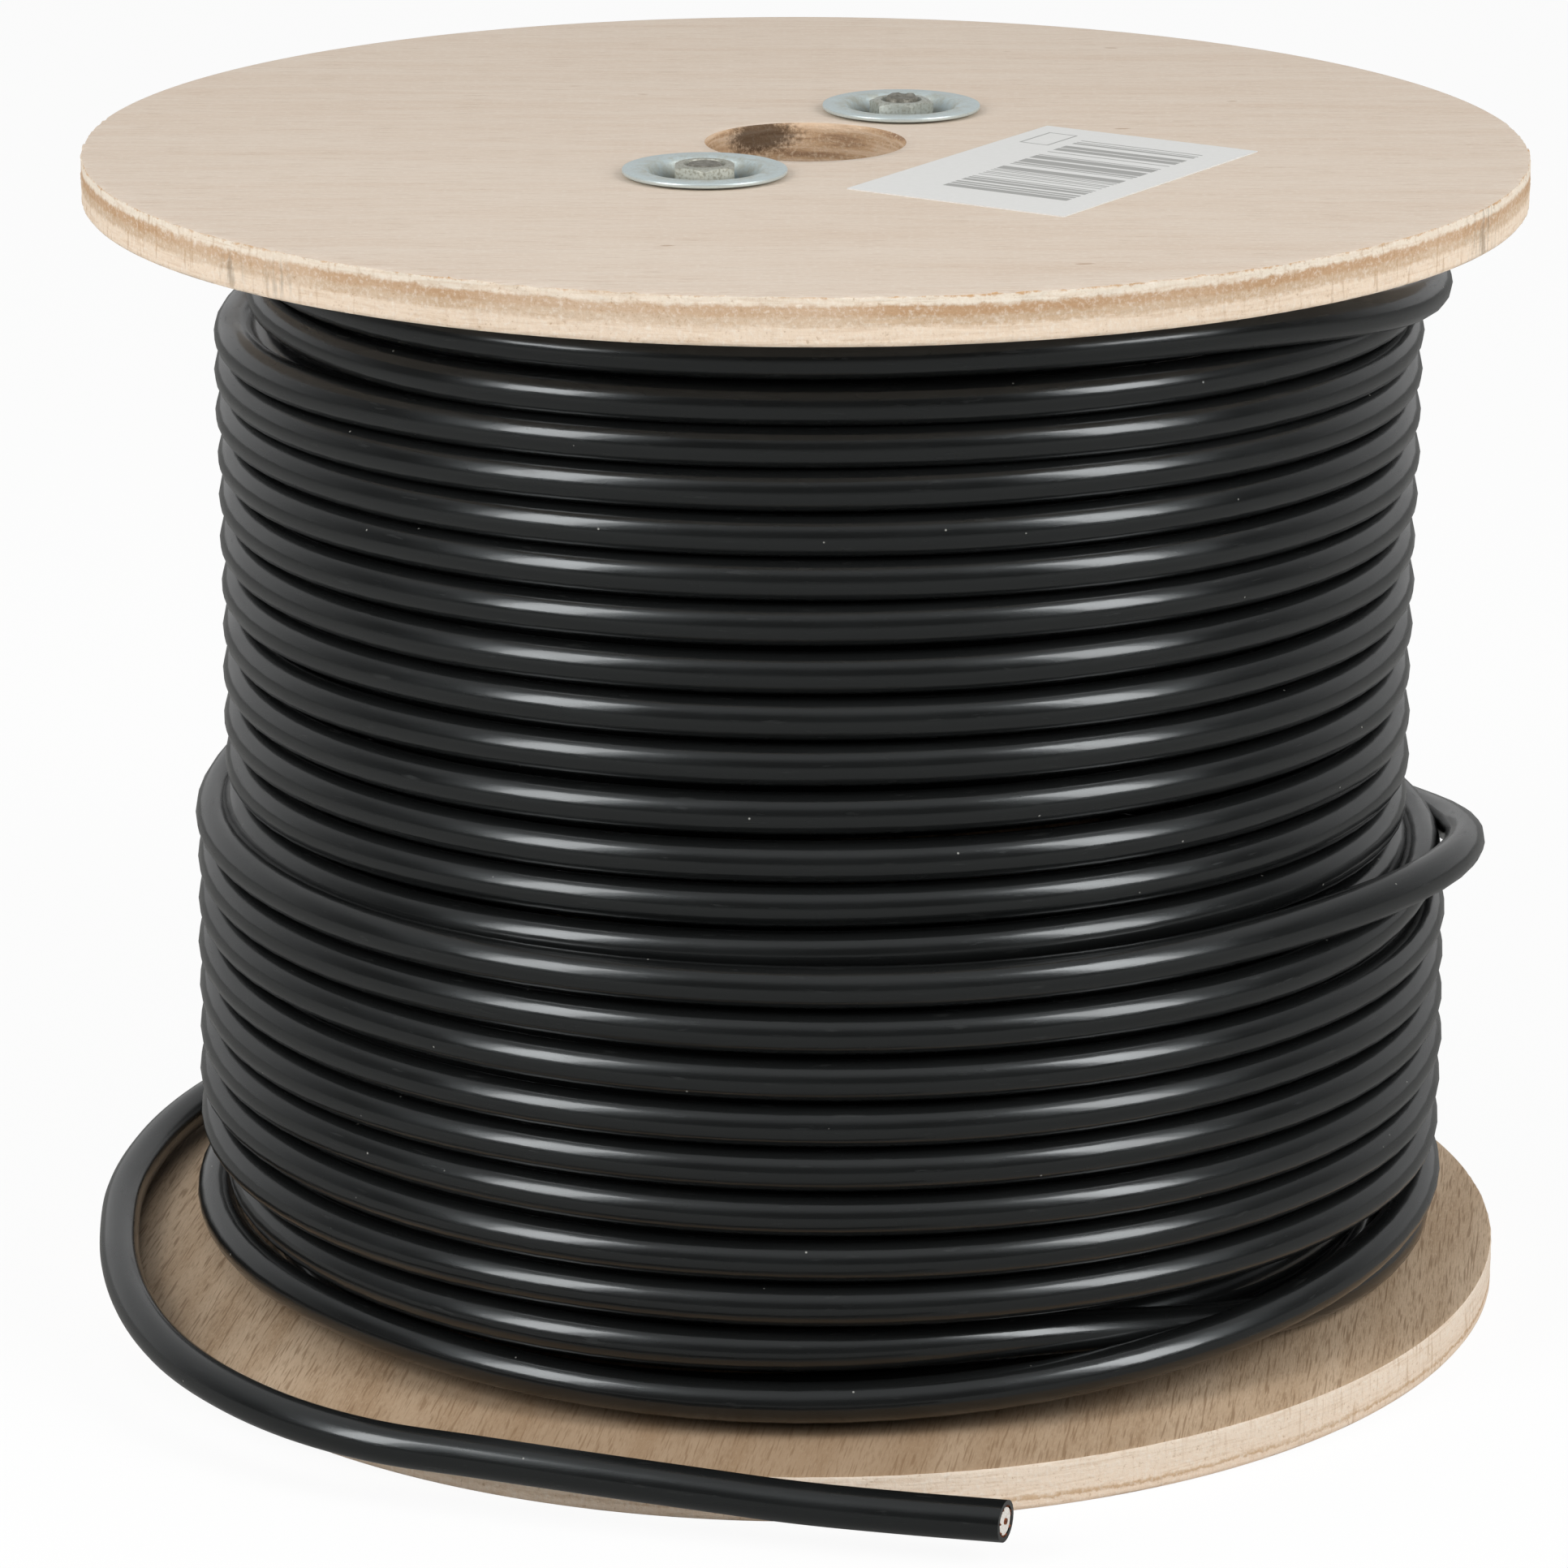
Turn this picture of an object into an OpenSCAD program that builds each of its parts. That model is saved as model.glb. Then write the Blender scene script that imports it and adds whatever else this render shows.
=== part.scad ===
// Plywood cable reel wound with coaxial cable, standing on its lower flange.
// Origin at the centre of the base, +Z up along the arbor, millimetres.

/* [Flanges] */
// Diameter of the two plywood flanges
flange_d = 250; // [240:1:320]
// Thickness of the plywood
flange_t = 8; // [7:0.5:15]
// Height over both flanges
reel_h = 205; // [150:1:300]
// Diameter of the arbor hole through both flanges
arbor_d = 34; // [20:1:36]

/* [Core tube] */
// Outer diameter of the cardboard tube that the cable is wound on
tube_d = 106; // [102:1:118]
// Wall of the tube
tube_wall = 5; // [3:0.5:6]
// Depth of the ring groove in each flange that takes the tube's end
groove_depth = 3; // [2:0.5:4]

/* [Tie bolts] */
// Thread diameter of the two tie bolts
bolt_d = 6; // [5:0.5:6.5]
// Diameter of the circle that the bolts stand on
bolt_circle_d = 68; // [65:1:74]
// Direction of the rear bolt, from +X
bolt_angle = 60; // [0:5:90]
// Clearance hole for a bolt in wood and washer
bolt_hole_d = 7; // [6.6:0.1:8]
// Width across the flats of head and nut
hex_af = 10; // [9:0.5:11]
// Height of the bolt head
head_h = 4; // [3:0.1:4.1]
// Height of the nut
nut_h = 5; // [4:0.1:6]
// Length of thread that shows above the nut
thread_proud = 0.6; // [0.2:0.1:3]

/* [Cup washers] */
// Outer diameter of a washer
washer_d = 28; // [26:0.5:30]
// Sheet thickness of a washer
washer_t = 1.2; // [0.8:0.1:1.5]
// Diameter of the cup at its mouth
cup_d = 19.5; // [18:0.5:21]
// Diameter of the cup's flat floor
cup_floor_d = 14; // [13:0.5:16]
// Depth of the cup below the rim
cup_depth = 4.2; // [3:0.1:4.5]

/* [Cable] */
// Outer diameter of the cable
cable_d = 7; // [6:0.1:7.4]
// Height that one turn takes up on the reel
turn_pitch = 7.6; // [7.5:0.1:9]
// Layers that run the whole width of the reel
full_layers = 8; // [4:1:8]
// Turns in the part layer on the outside, from the bottom up
part_turns = 10; // [3:1:14]
// How far the hand-wound turns lie off the arbor's axis, along X
winding_lean = 2.5; // [0:0.1:3]
// Diameter of the foam dielectric
dielectric_d = 4.6; // [3.5:0.1:4.8]
// Thickness of the braid
braid_t = 0.25; // [0.15:0.05:0.35]
// Diameter of the centre conductor
conductor_d = 1; // [0.7:0.1:1.6]

/* [Label] */
// Length of the paper label on the upper flange
label_l = 66; // [40:1:70]
// Width of the label
label_w = 42; // [25:1:46]
// Thickness of the label
label_t = 0.2; // [0.1:0.05:0.4]
// Distance of the label's middle from the arbor's axis
label_reach = 49; // [46:1:56]
// Direction of the label's middle, from +X
label_angle = -32.5; // [-60:0.5:0]
// How far the label is stuck off that direction, along its length
label_slip = 2; // [-4:0.5:4]

/* [Hidden] */
$fn = 96;
// Clearance between pieces that fit into each other
fit_gap = 0.3;
// Clearance between the layers of the cable
layer_gap = 0.05;
// Clearance of the thread in the nut
thread_gap = 0.05;
// How far the lower washers lie inside the base
base_recess = 0.3;
// Slack of the first layer on its tube
wrap_slack = 0.5;
// Chamfers on hexagons and bolt ends
hex_chamfer = 0.7;
end_chamfer = 0.8;

width_inside = reel_h - 2 * flange_t;
turns = floor(width_inside / turn_pitch);
turn_step = width_inside / turns;
layer_step = cable_d * cos(30);
winding_bore_r = tube_d / 2 + fit_gap;
function layer_r(k) = tube_d / 2 + winding_lean + wrap_slack + cable_d / 2 + k * layer_step;
function turn_z(i) = flange_t + (i + 0.5) * turn_step;

// The filler stays behind the turns' centres by this much, so that the grooves are as deep as real ones.
filler_set_back = 0.3 * cable_d;

// A pressed cup keeps its thickness on the slope, so its underside is wider by this much.
cup_run = (cup_d - cup_floor_d) / 2;
cup_flare = washer_t * (norm([cup_run, cup_depth]) - cup_run) / cup_depth;
bolt_angles = [bolt_angle + 180, bolt_angle];
nut_turns = [30, -13];
upper_rim_z = reel_h + washer_t;
nut_z = upper_rim_z - cup_depth;
bolt_top_z = nut_z + nut_h + thread_proud;
head_z = base_recess + cup_depth;

// Free end of the cable: it leaves the lowest turn behind the winding, lies along the lower flange
// and passes over its edge to the cut end in front.
tail_sides = 12;
tail_route = [
    [-20, 114.5, 11.9], [-36, 110.5, 12], [-51, 104.5, 12.1], [-65, 96.5, 12.2],
    [-78.5, 87, 12.3], [-90.5, 76, 12.4], [-101.5, 63.5, 12.4], [-110.5, 49.5, 12.4],
    [-117, 33, 12.2], [-121, 15.5, 12], [-122.8, -3, 11.8], [-122, -22, 11.7],
    [-119.5, -41.5, 11.6], [-114.5, -61.5, 11.5], [-107, -79.5, 11.2], [-97, -94.5, 10.9],
    [-84.5, -107, 10.6], [-70, -116, 10.3], [-53.5, -121.5, 10], [-36.5, -126.5, 9.5],
    [-19, -131, 8.8], [-1, -135, 7.9], [16.5, -138.5, 7.6], [33, -141.5, 7.5]
];
tip = tail_route[len(tail_route) - 1];
joint = tail_route[len(tail_route) - 2];
end_len = norm(tip - joint);
end_dir = (tip - joint) / end_len;
braid_bore_d = dielectric_d + 2 * layer_gap;
braid_d = braid_bore_d + 2 * braid_t;
jacket_bore_d = braid_d + 2 * layer_gap;

// Places its children on bolt number i: 0 is in front, 1 is behind.
module at_bolt(i) {
    rotate(bolt_angles[i]) translate([bolt_circle_d / 2, 0, 0]) children();
}

// Seat of a cup washer, cut downwards from a face at z = 0, with the rim let in by a given depth.
module washer_seat(rim_let) {
    if (rim_let > 0) translate([0, 0, -rim_let]) cylinder(h = rim_let + 1, d = washer_d + 2 * fit_gap);
    translate([0, 0, -rim_let - cup_depth - fit_gap])
        cylinder(
            h = cup_depth + fit_gap,
            r1 = cup_floor_d / 2 + cup_flare + fit_gap,
            r2 = cup_d / 2 + cup_flare + fit_gap
        );
    translate([0, 0, -2 * flange_t]) cylinder(h = 3 * flange_t, d = bolt_hole_d);
}

// One flange with its inner face up: arbor hole, tube groove and two washer seats in the outer face.
module flange(rim_let) {
    difference() {
        cylinder(h = flange_t, d = flange_d);
        translate([0, 0, -1]) cylinder(h = flange_t + 2, d = arbor_d);
        translate([0, 0, flange_t - groove_depth]) difference() {
            cylinder(h = groove_depth + 1, d = tube_d + 2 * fit_gap);
            translate([0, 0, -1]) cylinder(h = groove_depth + 3, d = tube_d - 2 * tube_wall - 2 * fit_gap);
        }
        for (i = [0, 1]) at_bolt(i) mirror([0, 0, 1]) washer_seat(rim_let);
    }
}

module bottom_flange() {
    color("#b08d6b") flange(base_recess + washer_t);
}

module top_flange() {
    // Turned over by a half turn about the line through both bolts, so that the seats stay in place.
    color("#d8c7b4") translate([0, 0, reel_h])
        rotate(bolt_angle) rotate([180, 0, 0]) rotate(-bolt_angle) flange(0);
}

module core_tube() {
    color("#a9845c") translate([0, 0, flange_t - groove_depth]) difference() {
        cylinder(h = width_inside + 2 * groove_depth, d = tube_d);
        translate([0, 0, -1]) cylinder(h = width_inside + 2 * groove_depth + 2, d = tube_d - 2 * tube_wall);
    }
}

// Hexagon with chamfered corners on its upper and, if asked, its lower side.
module hexagon(h, both) {
    corner_r = hex_af / 2 / cos(30);
    low_r = both ? corner_r - hex_chamfer : corner_r;
    intersection() {
        cylinder(h = h, r = corner_r, $fn = 6);
        rotate_extrude() polygon([
            [0, 0], [low_r, 0], [corner_r, (corner_r - low_r) / 2],
            [corner_r, h - hex_chamfer / 2], [corner_r - hex_chamfer, h], [0, h]
        ]);
    }
}

module tie_bolt(i) {
    color("#a9aca9") at_bolt(i) {
        translate([0, 0, head_z]) mirror([0, 0, 1]) rotate(nut_turns[i]) hexagon(head_h, false);
        translate([0, 0, head_z]) cylinder(h = bolt_top_z - head_z - end_chamfer, d = bolt_d);
        translate([0, 0, bolt_top_z - end_chamfer])
            cylinder(h = end_chamfer, r1 = bolt_d / 2, r2 = bolt_d / 2 - end_chamfer);
    }
}

module tie_bolt_front() { tie_bolt(0); }
module tie_bolt_back() { tie_bolt(1); }

module nut(i) {
    color("#b3b4ad") at_bolt(i) translate([0, 0, nut_z]) difference() {
        rotate(nut_turns[i]) hexagon(nut_h, true);
        translate([0, 0, -1]) cylinder(h = nut_h + 2, d = bolt_d + 2 * thread_gap);
    }
}

module nut_front() { nut(0); }
module nut_back() { nut(1); }

// Pressed washer with its rim's upper face at z = 0 and its cup below.
module cup_washer() {
    rotate_extrude() polygon([
        [bolt_hole_d / 2, -cup_depth],
        [cup_floor_d / 2, -cup_depth],
        [cup_d / 2, 0],
        [washer_d / 2, 0],
        [washer_d / 2, -washer_t],
        [cup_d / 2 + cup_flare, -washer_t],
        [cup_floor_d / 2 + cup_flare, -cup_depth - washer_t],
        [bolt_hole_d / 2, -cup_depth - washer_t]
    ]);
}

module top_washer(i) {
    color("#c3d0d3") at_bolt(i) translate([0, 0, upper_rim_z]) cup_washer();
}

module bottom_washer(i) {
    color("#c3d0d3") at_bolt(i) translate([0, 0, base_recess]) mirror([0, 0, 1]) cup_washer();
}

module top_washer_front() { top_washer(0); }
module top_washer_back() { top_washer(1); }
module bottom_washer_front() { bottom_washer(0); }
module bottom_washer_back() { bottom_washer(1); }

module label() {
    color("#f4f3f0") translate([0, 0, reel_h])
        rotate(label_angle) translate([label_reach - label_w / 2, label_slip - label_l / 2, 0])
            cube([label_w, label_l, label_t]);
}

// A column of turns of one layer in section, with the filler behind them. It runs in past the bore.
module turn_column(layer, first, last) {
    filler_in = winding_bore_r - 2 * winding_lean - fit_gap;
    for (i = [first:last]) translate([layer_r(layer), turn_z(i)]) circle(d = cable_d);
    translate([filler_in, turn_z(first)])
        square([layer_r(layer) - filler_set_back - filler_in, turn_z(last) - turn_z(first)]);
}

// The wound cable: every turn shows on the outside, and every layer on the two ends.
// The turns of the part layer lie in the grooves of the layer below.
module cable_winding() {
    color("#232424") difference() {
        translate([winding_lean, 0, 0]) rotate_extrude() {
            turn_column(full_layers - 1, 0, turns - 1);
            turn_column(full_layers, 0.5, part_turns - 0.5);
            for (k = [0:full_layers - 2], i = [0, turns - 1])
                translate([layer_r(k), turn_z(i)]) circle(d = cable_d);
        }
        cylinder(h = reel_h, r = winding_bore_r);
    }
}

function unit(v) = v / norm(v);
function tail_tangent(i) =
    i == 0 ? unit(tail_route[1] - tail_route[0])
    : i == len(tail_route) - 2 ? end_dir
    : unit(tail_route[i + 1] - tail_route[i - 1]);
function tail_ring(i) =
    let (along = tail_tangent(i), side = unit(cross(along, [0, 0, 1])), up = cross(side, along))
    [for (s = [0:tail_sides - 1])
        let (a = 360 * s / tail_sides)
        tail_route[i] + cable_d / 2 * (cos(a) * side + sin(a) * up)];

// The tail as one tube through its route, up to the straight stretch at the cut end.
module cable_tail() {
    rings = len(tail_route) - 1;
    points = [for (i = [0:rings - 1]) each tail_ring(i)];
    walls = [for (i = [0:rings - 2], s = [0:tail_sides - 1])
        let (a = i * tail_sides + s, b = i * tail_sides + (s + 1) % tail_sides)
        each [[a, b, a + tail_sides], [b, b + tail_sides, a + tail_sides]]];
    first_cap = [for (s = [0:tail_sides - 1]) tail_sides - 1 - s];
    last_cap = [for (s = [0:tail_sides - 1]) (rings - 1) * tail_sides + s];
    color("#1d1e1e") polyhedron(points, concat(walls, [first_cap, last_cap]), convexity = 4);
}

// Straight stretch at the cut end: places its children along the cable, from the tail to the cut.
module along_end() {
    translate(joint)
        rotate([0, acos(end_dir[2]), atan2(end_dir[1], end_dir[0])]) children();
}

module cable_layer(outer_d, bore_d) {
    along_end() difference() {
        cylinder(h = end_len, d = outer_d);
        translate([0, 0, -1]) cylinder(h = end_len + 2, d = bore_d);
    }
}

module end_jacket() { color("#1d1e1e") cable_layer(cable_d, jacket_bore_d); }
module end_braid() { color("#b5643c") cable_layer(braid_d, braid_bore_d); }
module end_dielectric() { color("#f2efe9") cable_layer(dielectric_d, conductor_d + 2 * layer_gap); }
module end_conductor() { color("#b5643c") along_end() cylinder(h = end_len, d = conductor_d); }

bottom_flange();
top_flange();
core_tube();
tie_bolt_front();
tie_bolt_back();
nut_front();
nut_back();
top_washer_front();
top_washer_back();
bottom_washer_front();
bottom_washer_back();
label();
cable_winding();
cable_tail();
end_jacket();
end_braid();
end_dielectric();
end_conductor();
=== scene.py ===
"""Looks of a wooden reel of coaxial cable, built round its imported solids.

The reel stands on z = 0 with its axis on Z. Sizes are in metres.
"""

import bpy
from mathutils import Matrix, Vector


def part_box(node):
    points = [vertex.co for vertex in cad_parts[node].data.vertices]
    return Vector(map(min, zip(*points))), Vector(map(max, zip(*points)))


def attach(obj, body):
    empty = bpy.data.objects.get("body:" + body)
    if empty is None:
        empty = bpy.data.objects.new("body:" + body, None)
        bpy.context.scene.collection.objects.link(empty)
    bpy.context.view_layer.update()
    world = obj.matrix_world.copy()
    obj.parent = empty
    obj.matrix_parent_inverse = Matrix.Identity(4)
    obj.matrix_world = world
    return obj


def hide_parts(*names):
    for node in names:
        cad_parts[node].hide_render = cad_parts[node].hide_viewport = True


bl_info = {
    "name": "Cable Reel Looks",
    "version": (1, 0, 0),
    "blender": (4, 5, 0),
    "location": "View3D > Sidebar > Cable Reel",
    "description": "Dresses the solids of a plywood reel of coaxial cable",
    "category": "Object",
}

import math

import bpy
from bpy.props import FloatProperty, FloatVectorProperty, IntProperty, PointerProperty
from mathutils import Matrix, Vector

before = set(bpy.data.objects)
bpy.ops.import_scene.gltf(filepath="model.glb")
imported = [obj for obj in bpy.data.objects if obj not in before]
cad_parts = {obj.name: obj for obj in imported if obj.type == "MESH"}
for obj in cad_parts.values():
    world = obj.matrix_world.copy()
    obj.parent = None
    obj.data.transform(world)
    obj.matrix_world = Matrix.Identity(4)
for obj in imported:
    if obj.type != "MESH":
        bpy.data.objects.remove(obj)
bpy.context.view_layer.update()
MM = 0.001
BODY = "root"


# Sizes read from the solids

def node_radius(node):
    """Half the width of a round CAD node."""
    low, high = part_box(node)
    return (high.x - low.x) / 2


BOARD_RADIUS = node_radius("top_flange")
LOWER_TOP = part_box("bottom_flange")[1].z
UPPER_LOW, UPPER_TOP = (corner.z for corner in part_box("top_flange"))
WASHER_RADIUS = node_radius("top_washer_front")
BOLTS = {
    place: (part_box("tie_bolt_" + place)[0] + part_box("tie_bolt_" + place)[1]) / 2
    for place in ("front", "back")
}


def hex_linear(code):
    """An sRGB hex colour as linear red, green and blue."""
    values = []
    for at in (1, 3, 5):
        value = int(code[at:at + 2], 16) / 255
        values.append(value / 12.92 if value <= 0.04045 else ((value + 0.055) / 1.055) ** 2.4)
    return tuple(values)


def rgba(colour):
    """A colour with full alpha, from hex or from a property."""
    return (*(hex_linear(colour) if isinstance(colour, str) else colour), 1.0)


def colour_property(name, description, code):
    """A colour that a user may change."""
    return FloatVectorProperty(
        name=name, description=description, subtype="COLOR", size=3,
        min=0.0, max=1.0, default=hex_linear(code))


def length_property(name, description, default):
    """A length in metres that a user may change."""
    return FloatProperty(
        name=name, description=description, default=default, min=0.0, unit="LENGTH",
        subtype="DISTANCE", precision=5)


class ReelCableSettings(bpy.types.PropertyGroup):
    """The wound cable and its free end."""

    diameter: length_property("Diameter", "Outside of the jacket", 7 * MM)
    inner_radius: length_property("Inner layer", "Centre of the layer below the two that show", 96.0 * MM)
    middle_radius: length_property("Middle layer", "Centre of the last full layer", 101.7 * MM)
    outer_radius: length_property("Outer layer", "Centre of the part layer", 107.9 * MM)
    turn_steps: IntProperty(name="Steps", description="Rings of points in one turn", default=80, min=24)
    sides: IntProperty(name="Sides", description="Points round the cable", default=16, min=8)
    jacket: colour_property("Jacket", "Black PVC", "#151616")
    dust: colour_property("Dust", "Dust on the jacket", "#9A9A94")
    copper: colour_property("Copper", "Braid and centre conductor", "#B9704A")
    foam: colour_property("Foam", "Dielectric at the cut", "#F1EEE8")


class ReelBoardSettings(bpy.types.PropertyGroup):
    """The two plywood flanges."""

    radius: length_property("Radius", "Outside of a flange", BOARD_RADIUS)
    bore: length_property("Bore", "Radius of the arbor hole", 17 * MM)
    segments: IntProperty(name="Segments", description="Points round a flange's edge", default=960, min=96)
    face: colour_property("Upper face", "Pale face veneer", "#DDCEBE")
    streak: colour_property("Upper streaks", "Pinkish streaks in the face veneer", "#CFB7A1")
    lower: colour_property("Lower face", "Brown veneer inside the lower flange", "#D1B89C")
    fleck: colour_property("Lower flecks", "Dark flecks in the brown veneer", "#85684B")
    cream: colour_property("Cream ply", "Outer plies at the edge", "#E8DCCB")
    tan: colour_property("Tan ply", "Smooth ply at the edge", "#BF9B78")
    end_grain: colour_property("End grain", "Crumbly ply at the edge", "#CCB296")
    scorch: colour_property("Scorch", "Drill burn in the bore", "#3A2B20")


class ReelHardwareSettings(bpy.types.PropertyGroup):
    """Cup washers, nuts and tie bolts."""

    washer_radius: length_property("Washer", "Outside of a cup washer", WASHER_RADIUS)
    mouth_radius: length_property("Cup mouth", "Radius of the cup at the rim", 9.75 * MM)
    floor_radius: length_property("Cup floor", "Radius of the cup's floor", 7.0 * MM)
    cup_depth: length_property("Cup depth", "How deep the cup is pressed", 4.2 * MM)
    sheet: length_property("Sheet", "Thickness of the washer's sheet", 1.2 * MM)
    nut_flats: length_property("Nut", "Across the flats", 10 * MM)
    nut_height: length_property("Nut height", "Height of a nut", 5 * MM)
    bolt_radius: length_property("Bolt", "Radius of the tie bolt", 3 * MM)
    zinc: colour_property("Zinc", "Bluish zinc plate", "#D2DFE0")
    stain: colour_property("Stain", "Yellowed zinc", "#A69C78")
    steel: colour_property("Bolt end", "Bare steel of a cut bolt", "#7C796F")


class ReelLabelSettings(bpy.types.PropertyGroup):
    """The paper label on the upper flange."""

    length: length_property("Length", "Long side", 66 * MM)
    width: length_property("Width", "Short side", 42 * MM)
    thickness: length_property("Thickness", "Paper and glue", 0.2 * MM)
    turn: FloatProperty(
        name="Turn", description="Direction of the long side", default=math.radians(57.5),
        subtype="ANGLE", unit="ROTATION")
    paper: colour_property("Paper", "Label paper", "#E6E6E4")
    ink: colour_property("Ink", "Grey print", "#A3A3A0")


class ReelStageSettings(bpy.types.PropertyGroup):
    """Floor, light and camera."""

    lens: FloatProperty(
        name="Lens", description="Focal length on a 36 mm frame", default=146.18, unit="CAMERA")
    soft_box: FloatProperty(
        name="Soft boxes", description="Power of each soft box in watts", default=10.4, min=0.0)
    floor: colour_property("Floor", "Pale floor", "#D2D2D0")
    mirrored: colour_property("Mirrored floor", "The floor as glossy pieces show it", "#8E8E8C")


# Working with objects and meshes

def select_only(piece=None):
    """Deselects everything, then selects and activates one piece."""
    bpy.ops.object.select_all(action="DESELECT")
    if piece:
        piece.select_set(True)
        bpy.context.view_layer.objects.active = piece


def settle(piece):
    """Puts a piece's place, turn and scale into its mesh."""
    select_only(piece)
    bpy.ops.object.transform_apply(location=True, rotation=True, scale=True)


def apply_modifier(piece, kind, **settings):
    """Adds one modifier with its settings and applies it."""
    change = piece.modifiers.new(kind.lower(), kind)
    for key, value in settings.items():
        setattr(change, key, value)
    select_only(piece)
    bpy.ops.object.modifier_apply(modifier=change.name)


def carve(piece, cutter, operation="DIFFERENCE"):
    """Cuts a piece with another, which is then removed."""
    apply_modifier(piece, "BOOLEAN", object=cutter, operation=operation, solver="EXACT")
    bpy.data.objects.remove(cutter)


def turned(name, profile, segments, centre=(0.0, 0.0)):
    """A round piece: a ring that is extruded from point to point of its (radius, height) profile."""
    select_only()
    radius, height = profile[0]
    bpy.ops.mesh.primitive_circle_add(vertices=segments, radius=radius, location=(*centre, height))
    piece = bpy.context.object
    piece.name = piece.data.name = name
    settle(piece)
    bpy.ops.object.mode_set(mode="EDIT")
    bpy.ops.mesh.select_all(action="SELECT")
    for (radius, height), (next_radius, next_height) in zip(profile, profile[1:]):
        bpy.ops.mesh.extrude_edges_move(TRANSFORM_OT_translate={"value": (0, 0, next_height - height)})
        share = next_radius / radius
        bpy.ops.transform.resize(value=(share, share, 1), center_override=(*centre, next_height))
    bpy.ops.mesh.select_all(action="SELECT")
    bpy.ops.mesh.remove_doubles(threshold=0.004 * MM)
    bpy.ops.mesh.normals_make_consistent(inside=False)
    bpy.ops.object.mode_set(mode="OBJECT")
    return piece


def smooth(piece, degrees):
    """Smooth shading, with edges sharper than an angle kept."""
    select_only(piece)
    bpy.ops.object.shade_smooth_by_angle(angle=math.radians(degrees))


def turned_over(piece, name, centre, top, base):
    """A copy turned upside down about a centre, with its top put at a base height."""
    other = piece.copy()
    other.data = piece.data.copy()
    other.name = other.data.name = name
    bpy.context.scene.collection.objects.link(other)
    to_origin = Matrix.Translation((-centre[0], -centre[1], -top))
    other.data.transform(Matrix.Translation((*centre, base)) @ Matrix.Rotation(math.pi, 4, "X") @ to_origin)
    return other


def face_outwards(piece, fill=False):
    """Turns a mesh's faces outwards, after its holes are closed if that is asked for."""
    select_only(piece)
    bpy.ops.object.mode_set(mode="EDIT")
    bpy.ops.mesh.select_all(action="SELECT")
    if fill:
        bpy.ops.mesh.fill_holes(sides=0)
    bpy.ops.mesh.normals_make_consistent(inside=False)
    bpy.ops.object.mode_set(mode="OBJECT")


def ready(piece, slot, *nodes):
    """Rides a finished piece on the reel and hides the solids it stands for."""
    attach(piece, BODY)
    if nodes:
        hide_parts(*nodes)
    return piece


# Materials

def new_material(name):
    """A node material, its tree and its shader."""
    finish = bpy.data.materials.new(name)
    finish.use_nodes = True
    tree = finish.node_tree
    return finish, tree, tree.nodes["Principled BSDF"]


def feed(tree, node, feeds):
    """Links sockets to a node's inputs and sets the inputs that are given as values."""
    for key, value in feeds.items():
        if isinstance(value, bpy.types.NodeSocket):
            tree.links.new(value, node.inputs[key])
        else:
            node.inputs[key].default_value = value


def shade(tree, kind, feeds=None, stops=None, out=0, **settings):
    """Adds one node with its settings, its colour stops and what feeds it, and returns one of its outputs."""
    node = tree.nodes.new("ShaderNode" + kind)
    for key, value in settings.items():
        setattr(node, key, value)
    if stops:
        ramp = node.color_ramp
        ramp.elements.remove(ramp.elements[1])
        ramp.elements[0].position, ramp.elements[0].color = stops[0][0], rgba(stops[0][1])
        for place, colour in stops[1:]:
            ramp.elements.new(place).color = rgba(colour)
    feed(tree, node, feeds or {})
    return node.outputs[out]


def layered(tree, ground, *layers):
    """Lays colours over a ground colour or socket.

    A layer is a share and a colour. The share is a socket, or a pattern's socket with the value where the
    layer starts, the value where it is full, and how much of it then covers.
    """
    if not isinstance(ground, bpy.types.NodeSocket):
        ground = rgba(ground)
    for share, colour in layers:
        if isinstance(share, tuple):
            pattern, start, full, most = share
            share = shade(tree, "MapRange", {
                "Value": pattern, "From Min": start, "From Max": full, "To Max": most})
        ground = shade(tree, "Mix", {0: share, 6: ground, 7: rgba(colour)}, data_type="RGBA", out=2)
    return ground


def per_mm(*sizes):
    """Mapping scales that give one feature for each size in millimetres."""
    return tuple(1000.0 / size for size in sizes)


def coat(piece, *finishes):
    """Gives a piece its materials, in slot order."""
    piece.data.materials.clear()
    for finish in finishes:
        piece.data.materials.append(finish)


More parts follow.
